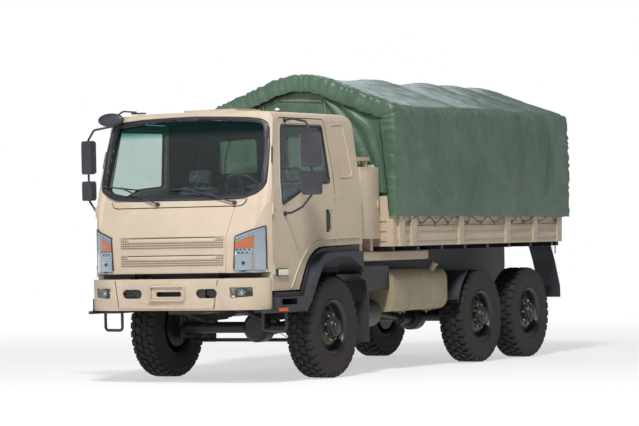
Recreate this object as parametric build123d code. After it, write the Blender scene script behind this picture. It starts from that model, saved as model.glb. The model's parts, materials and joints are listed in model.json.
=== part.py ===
from build123d import *
from math import cos, radians, sin, sqrt
import os

os.makedirs("parts", exist_ok=True)

# A six-wheel-drive military cargo truck with a forward-control cab and a canvas canopy.
# Millimetres. X points forward and is measured from the front axle, Y points to the truck's
# left, Z up from the ground. save() moves X so that the origin is under the middle of the truck.

# Overall size and axles
OVERALL_LENGTH = 7310
FRONT_OVERHANG = 1510
WHEELBASE = 3535
REAR_AXLE_SPACING = 1308
TRACK = 1971
FRONT_AXLE_X = OVERALL_LENGTH / 2 - FRONT_OVERHANG
REAR_AXLE_XS = (-WHEELBASE, -WHEELBASE - REAR_AXLE_SPACING)
BOGIE_X = sum(REAR_AXLE_XS) / 2
REAR_END_X = FRONT_OVERHANG - OVERALL_LENGTH
WHEEL_Y = TRACK / 2
SEAM = 10
SOFT_CLEARANCE = 0.3
RUNNING_FIT = 0.05
TUBE_SIDES = 8

# Tyres and wheels, with Y measured outwards from the middle of the tyre
TYRE_RADIUS = 543
AXLE_Z = TYRE_RADIUS
TYRE_SIDES = 18
TYRE_WIDTH = 320
TREAD_WIDTH = 268
SHOULDER_RADIUS = 520
SIDEWALL_RADIUS = 410
BEAD_RADIUS = 268
BEAD_WIDTH = 236
LUG_LENGTH = 90
LUG_GROOVE = 20
LUG_INSET = 2
LUG_SINK = 40
RIM_WALL = 14
RIM_FLANGE_RADIUS = 292
RIM_FLANGE_Y = 142
RIM_FLANGE_WALL = 24
DISC_FACE_RADIUS = 176
DISC_FACE_Y = 96
DISC_EDGE_Y = 34
DISC_WALL = 14
HUB_RADIUS = 100
HUB_END_Y = 176
HUB_CAP_RADIUS = 70
HUB_CAP_END_Y = 206
DRUM_RADIUS = 205
DRUM_INNER_Y = -108
DRUM_OUTER_Y = 50
SPINDLE_RADIUS = 45
SPINDLE_END_Y = 60
SPINDLE_END_GAP = 2
BACKPLATE_GAP = 6
BACKPLATE_WALL = 12

# Steering: kingpins, arms behind the axle and the tie rod between them
KINGPIN_Y = 800
KINGPIN_RADIUS = 22
KINGPIN_BOSS_RADIUS = 38
KINGPIN_BOSS_HEIGHT = 170
KNUCKLE_LUG = 26
KNUCKLE_LUG_HALF = 42
KNUCKLE_GAP = 6
KNUCKLE_WEB_WALL = 14
STEER_ARM = 200
STEER_ARM_HALF = 26
TIE_ROD_RADIUS = 20
TIE_ROD_END_RADIUS = 22
TIE_ROD_END_HEIGHT = 44
BALL_PIN_RADIUS = 10
OPEN_PIVOT_GAP = 1

# Chassis frame, axles and springs
FRAME_TOP = 1090
FRAME_DEPTH = 250
FRAME_BOTTOM = FRAME_TOP - FRAME_DEPTH
FRAME_HALF_WIDTH = 432
FRAME_FLANGE = 80
FRAME_WALL = 9
FRAME_FRONT_X = 1330
FRAME_REAR_X = -5600
CROSSMEMBER_XS = (1080, -1450, -2450, -3300, -5080, -5555)
CROSSMEMBER_WIDTH = 90
CROSSMEMBER_HEIGHT = 190
AXLE_TUBE_RADIUS = 62
DIFF_Y = 200
DIFF_RADIUS = 162
DIFF_LENGTH = 230
DIFF_NOSE_RADIUS = 90
DIFF_NOSE_END = 330
SPRING_Y = FRAME_HALF_WIDTH - FRAME_FLANGE / 2
SPRING_WIDTH = 76
LEAF = 13
LEAF_COUNT = 7
SHORT_LEAF_HALF = 260
SPRING_PAD = 16
FRONT_SPRING_HALF = 760
FRONT_SPRING_SAG = 60
SPRING_EYE_RADIUS = 26
SPRING_PIN_RADIUS = 12
HANGER_HALF = 34
HANGER_WALL = 12
REAR_SPRING_HALF = REAR_AXLE_SPACING / 2 + 60
REAR_SPRING_SAG = 60
REAR_SPRING_Z = 690
TRUNNION_RADIUS = 42
TRUNNION_Z = 640

# Engine, gearbox and shafts
ENGINE_FRONT_X = 1040
ENGINE_REAR_X = -380
ENGINE_HALF_WIDTH = 318
ENGINE_BOTTOM = 720
ENGINE_TOP = 1350
ENGINE_MOUNT_XS = (600, -200)
RADIATOR_FRONT_X = 1175
RADIATOR_WALL = 70
RADIATOR_HALF_WIDTH = 335
RADIATOR_BOTTOM = 800
GEARBOX_REAR_X = -1120
GEARBOX_HALF_WIDTH = 170
TRANSFER_FRONT_X = -1640
TRANSFER_REAR_X = -2040
TRANSFER_HALF_WIDTH = 260
TRANSFER_BOTTOM = 560
TRANSFER_TOP = 1040
SHAFT_RADIUS = 38
LINK_Z = 840
FRONT_SHAFT_Z = 640
REAR_SHAFT_Z = 700

# Bumper, cab pivot and what hangs under the cab
BUMPER_TOP = 1104
BUMPER_BOTTOM = 775
BUMPER_WALL = 26
BUMPER_FLANGE_DEPTH = 47
BUMPER_HALF_WIDTH = 1092
BUMPER_FLAT_HALF = 618
BUMPER_REAR_X = 1222
CAB_PIVOT_X = 1420
CAB_PIVOT_Z = 1020
CAB_PIVOT_Y = 520
CAB_ARM_WALL = 60
PIVOT_PIN_RADIUS = 16
PIVOT_SIDE_GAP = 6
PIVOT_CHEEK = 18
PIVOT_BASE_HALF = 28
STEP_TUBE_RADIUS = 16

# Cab
CAB_FRONT_X = 1455
CAB_REAR_X = -741
CAB_HALF_WIDTH = 1090
CAB_WALL = 48
CAB_FRONT_BOTTOM = 1160
CAB_REAR_BOTTOM = 1428
CAB_LOW = 800
CAB_HIGH = 3100
SILL_Z = 965
SILL_REAR_X = 655
SILL_FRONT_X = 1205
ARCH_CORNER_X = 404
ARCH_CORNER_Z = 1408
ARCH_RADIUS = 465
BELT_Z = 1950
ROOF_SIDE_HALF = 998
ROOF_SIDE_Z = 2838
ROOF_RADIUS = 105
ROOF_TOP = 2892
SCREEN_LEAN = 0.30
SCREEN_BASE_Z = 1925
TUNNEL_HALF = 500
TUNNEL_TOP = 1450
TUNNEL_FRONT_X = 1290
TUNNEL_WALL = 40
DOOR_FRONT_X = 1183
DOOR_REAR_X = -165
DOOR_TOP = 2782
DOOR_WALL = 50
DOOR_STOP_GAP = 6
DOOR_RABBET = 12
DOOR_SKIN = 16
HINGE_X = DOOR_FRONT_X + 2
HINGE_RADIUS = 11
HINGE_Y = CAB_HALF_WIDTH + HINGE_RADIUS + 1
GLASS = 6
GLASS_SINK = 16
SEAL_WIDTH = 38
SEAL_PROUD = 8
PANEL_PROUD = 9
GRILLE_BACK = 3
LAMP_PROUD = 14
# The cab rocks on its mounts, so the wing stays well under the door
FENDER_GAP = 50
WING_REAR_RISE = 14
WING_LIP_HEIGHT = 19
FENDER_OUTER_Y = 1185
FENDER_FACE_Y = 1112
FENDER_LINER = 12
STEP_FRONT_X = 1200
STEP_BOTTOM = 738

# Load bed and canopy
BED_FRONT_X = -1260
BED_REAR_X = -5640
BED_HALF_WIDTH = 1200
BED_BOTTOM = 1390
BED_SIDE_TOP = 1950
BED_WALL = 40
POST_DEPTH = 35
FLOOR_TOP = 1480
FLOOR_WALL = 40
BEARER_HEIGHT = 100
BEARER_BOTTOM = FLOOR_TOP - FLOOR_WALL - BEARER_HEIGHT
BEARER_WIDTH = 60
SUBFRAME_WIDTH = 76
GATE_GAP = 6
GATE_SIDE_GAP = 10
GATE_WALL = 40
GATE_PIVOT_X = -5715
GATE_PIVOT_Z = 1408
GATE_EYE_RADIUS = 18
GATE_PIN_RADIUS = 10
CANOPY_WALL = 8
CANOPY_BOTTOM = 1715
CANOPY_SHOULDER_Z = 2947
CANOPY_SHOULDER_RADIUS = 130
CANOPY_RIDGE_Z = 3395
CANOPY_RIDGE_RADIUS = 1050
CANOPY_HALF_WIDTH = BED_HALF_WIDTH + POST_DEPTH + CANOPY_WALL + SOFT_CLEARANCE
CANOPY_FRONT_X = -1240
CANOPY_REAR_X = REAR_END_X
BOW_RADIUS = 17
ROLL_RADIUS = 62
ROLL_CLEARANCE = 4
BOW_XS = (-1410, -2860, -4090, -4840, -5530)


def save(node, *pieces):
    """Write the solids of one node, with X counted from the middle of the truck."""
    solids = [solid for piece in pieces for solid in piece.solids()]
    whole = solids[0] if len(solids) == 1 else Compound(solids)
    export_step(Pos(FRONT_AXLE_X, 0, 0) * whole, f"parts/{node}.step")


def block(x0, x1, y0, y1, z0, z1):
    """A box between two corners."""
    return Pos((x0 + x1) / 2, (y0 + y1) / 2, (z0 + z1) / 2) * Box(x1 - x0, y1 - y0, z1 - z0)


def outline(points, radii=0):
    """A closed outline, its corners rounded by one radius or by one radius each."""
    if radii == 0:
        return make_face(Polyline(*points, close=True))
    return make_face(FilletPolyline(*points, radius=radii, close=True))


def rounded(table):
    """A closed outline from rows of two coordinates and a corner radius."""
    return outline([row[:2] for row in table], [row[2] for row in table])


def along_y(face, y0, y1):
    """Extrude an outline drawn in X and Z from y0 to y1."""
    return extrude(Plane.XZ.offset(-y1) * face, amount=y1 - y0)


def along_x(face, x0, x1):
    """Extrude an outline drawn in Y and Z from x0 to x1."""
    return extrude(Plane.YZ.offset(x0) * face, amount=x1 - x0)


def along_z(face, z0, z1):
    """Extrude an outline drawn in X and Y from z0 to z1."""
    return extrude(Plane.XY.offset(z0) * face, amount=z1 - z0)


def rod(start, end, radius):
    """A round bar between two points."""
    line = Vector(*end) - Vector(*start)
    return extrude(Plane(origin=start, z_dir=line) * Circle(radius), amount=line.length)


def bent_tube(points, radius, bend):
    """A many-sided tube along straight runs joined by arcs."""
    path = FilletPolyline(*points, radius=bend)
    return sweep(Plane(origin=path @ 0, z_dir=path % 0) * RegularPolygon(radius, TUBE_SIDES), path=path)


def twin(piece):
    """The same piece on the truck's other side."""
    return mirror(piece, about=Plane.XZ)


def both(pieces):
    """Each piece and its twin on the other side."""
    return [side for piece in pieces for side in (piece, twin(piece))]


def joined(pieces):
    """One solid from pieces that touch or overlap."""
    whole = pieces[0]
    for piece in pieces[1:]:
        whole = whole + piece
    return whole


# Tyres and wheels. Both are many-sided, with the same sides, so that the tyre's bore and the
# rim's barrel meet face to face.
def sides(radius):
    """The many-sided outline that tyre and rim share."""
    return RegularPolygon(radius, TYRE_SIDES)


def ring_loft(sections):
    """A solid through sections given as radius and y."""
    return loft([Plane.XZ.offset(-y) * sides(radius) for radius, y in sections], ruled=True)


def make_tyre():
    """A tyre with two staggered rows of lugs, its middle at the origin."""
    bead, wall, tread = BEAD_WIDTH / 2, TYRE_WIDTH / 2, TREAD_WIDTH / 2
    half = ((RIM_FLANGE_RADIUS + 2, -bead), (SIDEWALL_RADIUS, -wall), (SHOULDER_RADIUS, -tread))
    carcass = ring_loft(half + tuple((radius, -y) for radius, y in reversed(half)))
    carcass -= along_y(sides(BEAD_RADIUS), -bead, bead)
    tip = sqrt(TYRE_RADIUS ** 2 - (LUG_LENGTH / 2) ** 2)
    lugs = []
    for side in (-1, 1):
        inner, outer = side * LUG_GROOVE / 2, side * (tread - LUG_INSET)
        lug = block(-LUG_LENGTH / 2, LUG_LENGTH / 2, min(inner, outer), max(inner, outer),
                    tip - LUG_SINK, tip)
        for number in range(TYRE_SIDES):
            turn = (number + side / 4) * 360 / TYRE_SIDES
            lugs.append(Rot(0, turn, 0) * lug)
    return carcass + lugs


def make_wheel():
    """A dished wheel with its brake drum and hub, +Y outwards, its middle at the tyre's."""
    bead = BEAD_WIDTH / 2
    bore = BEAD_RADIUS - RIM_WALL
    barrel = along_y(sides(BEAD_RADIUS) - sides(bore), -bead, bead)
    flange = sides(RIM_FLANGE_RADIUS) - sides(bore)
    outer = along_y(flange, bead, RIM_FLANGE_Y)
    inner = along_y(flange, -bead - RIM_FLANGE_WALL / 2, -bead)
    edge = bore + RIM_WALL / 2
    cone = ring_loft(((edge, DISC_EDGE_Y), (DISC_FACE_RADIUS, DISC_FACE_Y)))
    cone -= ring_loft(((edge, DISC_EDGE_Y - DISC_WALL), (DISC_FACE_RADIUS, DISC_FACE_Y - DISC_WALL)))
    drum = along_y(sides(DRUM_RADIUS), DRUM_INNER_Y, DRUM_OUTER_Y)
    hub = along_y(sides(HUB_RADIUS), DRUM_OUTER_Y, HUB_END_Y)
    cap = along_y(sides(HUB_CAP_RADIUS), HUB_END_Y, HUB_CAP_END_Y)
    wheel = joined([barrel, outer, inner, cone, hub, drum, cap])
    bearing = Circle(SPINDLE_RADIUS + RUNNING_FIT)
    return wheel - along_y(bearing, DRUM_INNER_Y, SPINDLE_END_Y + SPINDLE_END_GAP)


TYRE = make_tyre()
WHEEL = make_wheel()
WHEEL_ROWS = (("front", 0), ("middle", REAR_AXLE_XS[0]), ("rear", REAR_AXLE_XS[1]))
for row, axle_x in WHEEL_ROWS:
    for side, turned in (("left", 0), ("right", 180)):
        sign = -1 if turned else 1
        place = Pos(axle_x, sign * WHEEL_Y, AXLE_Z) * Rot(0, 0, turned)
        save(f"tyre_{row}_{side}", place * TYRE)
        save(f"wheel_{row}_{side}", place * WHEEL)

# Steering knuckles, the front axle and the tie rod
BOSS_TOP = AXLE_Z + KINGPIN_BOSS_HEIGHT / 2
BOSS_BOTTOM = AXLE_Z - KINGPIN_BOSS_HEIGHT / 2
LUG_TOP_Z = BOSS_TOP + KNUCKLE_GAP
LUG_BOTTOM_Z = BOSS_BOTTOM - KNUCKLE_GAP
DRUM_FACE_Y = WHEEL_Y + DRUM_INNER_Y
BACKPLATE_Y = DRUM_FACE_Y - BACKPLATE_GAP
SPINDLE_TIP_Y = WHEEL_Y + SPINDLE_END_Y
ARM_BOTTOM = LUG_BOTTOM_Z - KNUCKLE_LUG
TIE_ROD_Z = ARM_BOTTOM - KNUCKLE_GAP - TIE_ROD_END_HEIGHT / 2


def make_knuckle():
    """The left knuckle: two lugs, kingpin, web, back plate, spindle and steering arm."""
    web_end = BACKPLATE_Y - BACKPLATE_WALL
    lug = along_z(Pos(0, KINGPIN_Y) * Circle(KNUCKLE_LUG_HALF), 0, KNUCKLE_LUG)
    lug += block(-KNUCKLE_LUG_HALF, KNUCKLE_LUG_HALF, KINGPIN_Y, web_end, 0, KNUCKLE_LUG)
    web = block(-KNUCKLE_LUG_HALF, KNUCKLE_LUG_HALF, web_end - KNUCKLE_WEB_WALL, web_end,
                ARM_BOTTOM, LUG_TOP_Z + KNUCKLE_LUG)
    pin = along_z(Pos(0, KINGPIN_Y) * Circle(KINGPIN_RADIUS), ARM_BOTTOM, LUG_TOP_Z + KNUCKLE_LUG)
    plate = Pos(0, 0, AXLE_Z) * along_y(Circle(DRUM_RADIUS), web_end, BACKPLATE_Y)
    spindle = Pos(0, 0, AXLE_Z) * along_y(Circle(SPINDLE_RADIUS), web_end, SPINDLE_TIP_Y)
    arm = block(-STEER_ARM, 0, KINGPIN_Y - STEER_ARM_HALF, KINGPIN_Y + STEER_ARM_HALF,
                ARM_BOTTOM, LUG_BOTTOM_Z)
    arm += along_z(Pos(-STEER_ARM, KINGPIN_Y) * Circle(STEER_ARM_HALF), ARM_BOTTOM, LUG_BOTTOM_Z)
    ball = along_z(Pos(-STEER_ARM, KINGPIN_Y) * Circle(BALL_PIN_RADIUS),
                   TIE_ROD_Z - TIE_ROD_END_HEIGHT / 2, ARM_BOTTOM)
    lower = Pos(0, 0, ARM_BOTTOM) * lug
    upper = Pos(0, 0, LUG_TOP_Z) * lug
    return joined([upper, lower, web, pin, plate, spindle, arm, ball])


def make_diff(axle_x, nose):
    """A differential housing with its nose towards the drive shaft."""
    middle = Pos(axle_x, DIFF_Y, AXLE_Z)
    housing = middle * Rot(0, 90, 0) * Cylinder(DIFF_RADIUS, DIFF_LENGTH)
    housing = chamfer(housing.edges().filter_by(GeomType.CIRCLE), DIFF_LENGTH / 5)
    snout = rod((axle_x, DIFF_Y, AXLE_Z), (axle_x + nose * DIFF_NOSE_END, DIFF_Y, AXLE_Z),
                DIFF_NOSE_RADIUS)
    return housing + snout


def make_pads(axle_x, top):
    """The two spring seats on an axle tube."""
    half = SPRING_WIDTH / 2
    pad = block(axle_x - half, axle_x + half, SPRING_Y - half, SPRING_Y + half, AXLE_Z, top)
    return both([pad])


FRONT_PAD_TOP = AXLE_Z + AXLE_TUBE_RADIUS + SPRING_PAD
REAR_PAD_TOP = REAR_SPRING_Z - REAR_SPRING_SAG

front_axle = rod((0, -KINGPIN_Y, AXLE_Z), (0, KINGPIN_Y, AXLE_Z), AXLE_TUBE_RADIUS)
for y in (-KINGPIN_Y, KINGPIN_Y):
    reach = KINGPIN_BOSS_RADIUS + KNUCKLE_GAP
    front_axle -= along_z(Pos(0, y) * Rectangle(4 * reach, 2 * reach), 0, 2 * AXLE_Z)
    front_axle += along_z(Pos(0, y) * Circle(KINGPIN_BOSS_RADIUS), BOSS_BOTTOM, BOSS_TOP)
    neck = min(y, y * (1 - reach / KINGPIN_Y)), max(y, y * (1 - reach / KINGPIN_Y))
    front_axle += block(-KINGPIN_BOSS_RADIUS, KINGPIN_BOSS_RADIUS, *neck,
                        AXLE_Z - KINGPIN_BOSS_RADIUS, AXLE_Z + KINGPIN_BOSS_RADIUS)
    front_axle -= along_z(Pos(0, y) * Circle(KINGPIN_RADIUS + RUNNING_FIT), BOSS_BOTTOM, BOSS_TOP)
front_axle = joined([front_axle, make_diff(0, -1)] + make_pads(0, FRONT_PAD_TOP))
save("front_axle", front_axle)

knuckle = make_knuckle()
save("knuckle_left", knuckle)
save("knuckle_right", twin(knuckle))

tie_rod = rod((-STEER_ARM, -KINGPIN_Y, TIE_ROD_Z), (-STEER_ARM, KINGPIN_Y, TIE_ROD_Z), TIE_ROD_RADIUS)
tie_rod_ends = ((KINGPIN_Y, RUNNING_FIT), (-KINGPIN_Y, OPEN_PIVOT_GAP))
for y, fit in tie_rod_ends:
    low, high = TIE_ROD_Z - TIE_ROD_END_HEIGHT / 2, TIE_ROD_Z + TIE_ROD_END_HEIGHT / 2
    tie_rod += along_z(Pos(-STEER_ARM, y) * Circle(TIE_ROD_END_RADIUS), low, high)
    tie_rod -= along_z(Pos(-STEER_ARM, y) * Circle(BALL_PIN_RADIUS + fit), low, high)
save("tie_rod", tie_rod)

# Rear axles: tube, back plates, spindles, differential and spring pads
rear_axles = []
for axle_x in REAR_AXLE_XS:
    tube = rod((axle_x, -BACKPLATE_Y, AXLE_Z), (axle_x, BACKPLATE_Y, AXLE_Z), AXLE_TUBE_RADIUS)
    spindle = rod((axle_x, -SPINDLE_TIP_Y, AXLE_Z), (axle_x, SPINDLE_TIP_Y, AXLE_Z), SPINDLE_RADIUS)
    plates = both([rod((axle_x, BACKPLATE_Y - BACKPLATE_WALL, AXLE_Z), (axle_x, BACKPLATE_Y, AXLE_Z),
                       DRUM_RADIUS)])
    pads = make_pads(axle_x, REAR_PAD_TOP)
    rear_axles.append(joined([tube, spindle, make_diff(axle_x, 1)] + plates + pads))
save("rear_axles", *rear_axles)


# Leaf springs: the leaves of a pack share one curve, so each lies flat on the next
def leaf_pack(middle_x, z, half, sag, growth):
    """A spring pack; growth is 1 where the leaves get longer upwards, -1 where downwards."""
    leaves = []
    for number in range(LEAF_COUNT):
        share = number / (LEAF_COUNT - 1)
        reach = SHORT_LEAF_HALF + (half - SHORT_LEAF_HALF) * (share if growth > 0 else 1 - share)
        low = z + number * LEAF
        end = sag * (reach / half) ** 2
        lower = ThreePointArc((-reach, low + end), (0, low), (reach, low + end))
        upper = ThreePointArc((-reach, low + LEAF + end), (0, low + LEAF), (reach, low + LEAF + end))
        ends = [Line(lower @ share_of, upper @ share_of) for share_of in (0, 1)]
        leaves.append(make_face([lower, upper] + ends))
    pack = [Pos(middle_x, 0, 0) * along_y(leaf, SPRING_Y - SPRING_WIDTH / 2, SPRING_Y + SPRING_WIDTH / 2)
            for leaf in leaves]
    return joined(pack)


FRONT_EYE_Z = FRONT_PAD_TOP + LEAF * (LEAF_COUNT - 0.5) + FRONT_SPRING_SAG
front_spring = leaf_pack(0, FRONT_PAD_TOP, FRONT_SPRING_HALF, FRONT_SPRING_SAG, 1)
for x in (-FRONT_SPRING_HALF, FRONT_SPRING_HALF):
    eye = Pos(x, 0, FRONT_EYE_Z) * along_y(Circle(SPRING_EYE_RADIUS), SPRING_Y - SPRING_WIDTH / 2,
                                           SPRING_Y + SPRING_WIDTH / 2)
    front_spring += eye
    hole = Circle(SPRING_PIN_RADIUS + RUNNING_FIT)
    front_spring -= Pos(x, 0, FRONT_EYE_Z) * along_y(hole, 0, 2 * SPRING_Y)
rear_spring = leaf_pack(BOGIE_X, REAR_SPRING_Z, REAR_SPRING_HALF, -REAR_SPRING_SAG, -1)
save("leaf_springs", *both([front_spring, rear_spring]))


def bumper_plan(depth):
    """The bumper's plan outline, its face moved back by depth."""
    face_x, flat_x = FRONT_OVERHANG - depth, 1491 - depth
    corner_x, end_y = 1275 - depth * 0.3, BUMPER_HALF_WIDTH - depth
    front = ThreePointArc((flat_x, -BUMPER_FLAT_HALF), (face_x, 0), (flat_x, BUMPER_FLAT_HALF))
    left = ThreePointArc((flat_x, BUMPER_FLAT_HALF), (1428 - depth * 0.9, 930 - depth * 0.4), (corner_x, end_y))
    right = ThreePointArc((corner_x, -end_y), (1428 - depth * 0.9, -930 + depth * 0.4), (flat_x, -BUMPER_FLAT_HALF))
    back = Polyline((corner_x, end_y), (BUMPER_REAR_X, end_y), (BUMPER_REAR_X, -end_y), (corner_x, -end_y))
    return make_face([*front.edges(), *left.edges(), *back.edges(), *right.edges()])


# Frame: two channels, cross members, spring hangers, bogie trunnion, bumper and fender arms
rail = block(FRAME_REAR_X, FRAME_FRONT_X, FRAME_HALF_WIDTH - FRAME_FLANGE, FRAME_HALF_WIDTH,
             FRAME_BOTTOM, FRAME_TOP)
rail -= block(FRAME_REAR_X, FRAME_FRONT_X, FRAME_HALF_WIDTH - FRAME_FLANGE, FRAME_HALF_WIDTH - FRAME_WALL,
              FRAME_BOTTOM + FRAME_WALL, FRAME_TOP - FRAME_WALL)
hangers = []
for x in (-FRONT_SPRING_HALF, FRONT_SPRING_HALF):
    half = SPRING_WIDTH / 2 + HANGER_WALL
    low = FRONT_EYE_Z - HANGER_HALF
    clevis = block(x - HANGER_HALF, x + HANGER_HALF, SPRING_Y - half, SPRING_Y + half, low, FRAME_BOTTOM)
    clevis -= block(x - HANGER_HALF, x + HANGER_HALF, SPRING_Y - SPRING_WIDTH / 2 - 1,
                    SPRING_Y + SPRING_WIDTH / 2 + 1, low, FRONT_EYE_Z + SPRING_EYE_RADIUS + 4)
    pin = Pos(x, 0, FRONT_EYE_Z) * along_y(Circle(SPRING_PIN_RADIUS), SPRING_Y - half, SPRING_Y + half)
    hangers += [clevis, pin]
trunnion_leg = block(BOGIE_X - 120, BOGIE_X + 120, FRAME_HALF_WIDTH - FRAME_FLANGE - 34,
                     FRAME_HALF_WIDTH - FRAME_FLANGE - 2, TRUNNION_Z - TRUNNION_RADIUS,
                     FRAME_TOP - FRAME_WALL - 20)
saddle = block(BOGIE_X - 90, BOGIE_X + 90, SPRING_Y - SPRING_WIDTH / 2, SPRING_Y + SPRING_WIDTH / 2,
               TRUNNION_Z, REAR_SPRING_Z) - rear_spring
BUMPER_ARM_Z = (880, 1000)
bumper_arm = block(FRAME_FRONT_X - 60, FRONT_OVERHANG, FRAME_HALF_WIDTH - FRAME_FLANGE, FRAME_HALF_WIDTH,
                   *BUMPER_ARM_Z) & along_z(bumper_plan(BUMPER_WALL), *BUMPER_ARM_Z)
engine_mounts = [block(x - 40, x + 40, ENGINE_HALF_WIDTH, FRAME_HALF_WIDTH - FRAME_WALL, 950, 1010)
                 for x in ENGINE_MOUNT_XS]
LINER_TOP_Z = 1303 + FENDER_LINER
fender_arm = block(-330, -270, FRAME_HALF_WIDTH - FRAME_FLANGE, FRAME_HALF_WIDTH, FRAME_TOP - 10, LINER_TOP_Z + 24)
fender_arm += block(-330, -270, FRAME_HALF_WIDTH - FRAME_FLANGE, 900, LINER_TOP_Z, LINER_TOP_Z + 24)
STEP_BOX_INNER_Y = 850
step_arm = block(900, 960, FRAME_HALF_WIDTH - 2, STEP_BOX_INNER_Y, 850, 900)
CAB_MOUNT_X = (-640, -560)
CAB_MOUNT_TOP = CAB_REAR_BOTTOM - 14
cab_mount = block(*CAB_MOUNT_X, FRAME_HALF_WIDTH - FRAME_FLANGE, 620, CAB_MOUNT_TOP - 60, CAB_MOUNT_TOP)
cab_mount += block(*CAB_MOUNT_X, FRAME_HALF_WIDTH - FRAME_FLANGE, FRAME_HALF_WIDTH, FRAME_TOP - 10, CAB_MOUNT_TOP)
PIVOT_HALF = CAB_ARM_WALL / 2 + PIVOT_SIDE_GAP + PIVOT_CHEEK
pivot_base = block(FRAME_FRONT_X - 100, CAB_PIVOT_X + PIVOT_BASE_HALF, FRAME_HALF_WIDTH - FRAME_WALL, CAB_PIVOT_Y + PIVOT_HALF,
                   930, 978)
pivot_parts = [pivot_base]
for y in (CAB_PIVOT_Y - PIVOT_HALF, CAB_PIVOT_Y + PIVOT_HALF - PIVOT_CHEEK):
    pivot_parts.append(block(CAB_PIVOT_X - PIVOT_BASE_HALF, CAB_PIVOT_X + PIVOT_BASE_HALF, y, y + PIVOT_CHEEK,
                             930, CAB_PIVOT_Z + PIVOT_BASE_HALF))
pivot_parts.append(rod((CAB_PIVOT_X, CAB_PIVOT_Y - PIVOT_HALF, CAB_PIVOT_Z),
                       (CAB_PIVOT_X, CAB_PIVOT_Y + PIVOT_HALF, CAB_PIVOT_Z), PIVOT_PIN_RADIUS))
left_frame = joined([rail, trunnion_leg, saddle, bumper_arm, fender_arm, step_arm, cab_mount]
                    + engine_mounts + hangers + pivot_parts)
crossmembers = [block(x - CROSSMEMBER_WIDTH / 2, x + CROSSMEMBER_WIDTH / 2, -FRAME_HALF_WIDTH + FRAME_WALL,
                      FRAME_HALF_WIDTH - FRAME_WALL, FRAME_TOP - FRAME_WALL - CROSSMEMBER_HEIGHT,
                      FRAME_TOP - FRAME_WALL) for x in CROSSMEMBER_XS]
trunnion = rod((BOGIE_X, -SPRING_Y - SPRING_WIDTH / 2, TRUNNION_Z),
               (BOGIE_X, SPRING_Y + SPRING_WIDTH / 2, TRUNNION_Z), TRUNNION_RADIUS)
bogie_member = block(BOGIE_X - 60, BOGIE_X + 60, -FRAME_HALF_WIDTH + FRAME_WALL, FRAME_HALF_WIDTH - FRAME_WALL,
                     FRAME_TOP - FRAME_WALL - CROSSMEMBER_HEIGHT, FRAME_TOP - FRAME_WALL)
save("frame_rails", joined([left_frame, twin(left_frame), trunnion, bogie_member] + crossmembers))

# Engine, gearbox, transfer box and drive shafts
engine = block(ENGINE_REAR_X, ENGINE_FRONT_X, -ENGINE_HALF_WIDTH, ENGINE_HALF_WIDTH, ENGINE_BOTTOM, ENGINE_TOP)
radiator = block(RADIATOR_FRONT_X - RADIATOR_WALL, RADIATOR_FRONT_X, -RADIATOR_HALF_WIDTH, RADIATOR_HALF_WIDTH,
                 RADIATOR_BOTTOM, ENGINE_TOP)
shroud = block(ENGINE_FRONT_X, RADIATOR_FRONT_X - RADIATOR_WALL, -ENGINE_HALF_WIDTH / 2, ENGINE_HALF_WIDTH / 2,
               RADIATOR_BOTTOM + 60, ENGINE_TOP - 60)
engine -= along_x(Pos(DIFF_Y, AXLE_Z) * Circle(DIFF_RADIUS + 40), ENGINE_REAR_X, ENGINE_FRONT_X)
engine -= block(CROSSMEMBER_XS[0] - 60, CROSSMEMBER_XS[0] + 60, -FRAME_HALF_WIDTH, FRAME_HALF_WIDTH, 0, FRAME_TOP + 6)
save("engine_block", joined([engine, shroud, radiator])
     - block(CROSSMEMBER_XS[0] - 52, CROSSMEMBER_XS[0] + 52, -FRAME_HALF_WIDTH, FRAME_HALF_WIDTH,
             FRAME_TOP - FRAME_WALL - CROSSMEMBER_HEIGHT - 6, FRAME_TOP + 2))
gearbox = block(GEARBOX_REAR_X, ENGINE_REAR_X, -GEARBOX_HALF_WIDTH, GEARBOX_HALF_WIDTH, 780, 1180)
gearbox = chamfer(gearbox.edges().filter_by(Axis.X), 50)
transfer = block(TRANSFER_REAR_X, TRANSFER_FRONT_X, -TRANSFER_HALF_WIDTH, TRANSFER_HALF_WIDTH,
                 TRANSFER_BOTTOM, TRANSFER_TOP)
transfer = chamfer(transfer.edges().filter_by(Axis.X), 70)
link = rod((TRANSFER_FRONT_X, 0, LINK_Z), (GEARBOX_REAR_X, 0, LINK_Z), SHAFT_RADIUS)
gearbox = joined([gearbox, link, transfer])
save("gearbox", gearbox)
SHAFT_RUNS = (
    ((-DIFF_NOSE_END, AXLE_Z), (TRANSFER_FRONT_X, FRONT_SHAFT_Z)),
    ((TRANSFER_REAR_X, REAR_SHAFT_Z), (REAR_AXLE_XS[0] + DIFF_NOSE_END, AXLE_Z)),
    ((REAR_AXLE_XS[0] - DIFF_LENGTH / 2, AXLE_Z), (REAR_AXLE_XS[1] + DIFF_NOSE_END, AXLE_Z)),
)
shafts = []
for (start_x, start_z), (end_x, end_z) in SHAFT_RUNS:
    shaft = rod((start_x, DIFF_Y, start_z), (end_x, DIFF_Y, end_z), SHAFT_RADIUS)
    low_x, high_x = min(start_x, end_x), max(start_x, end_x)
    shafts.append(shaft & block(low_x, high_x, 0, 2 * DIFF_Y, 0, FRAME_TOP))
save("prop_shafts", *shafts)


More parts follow.
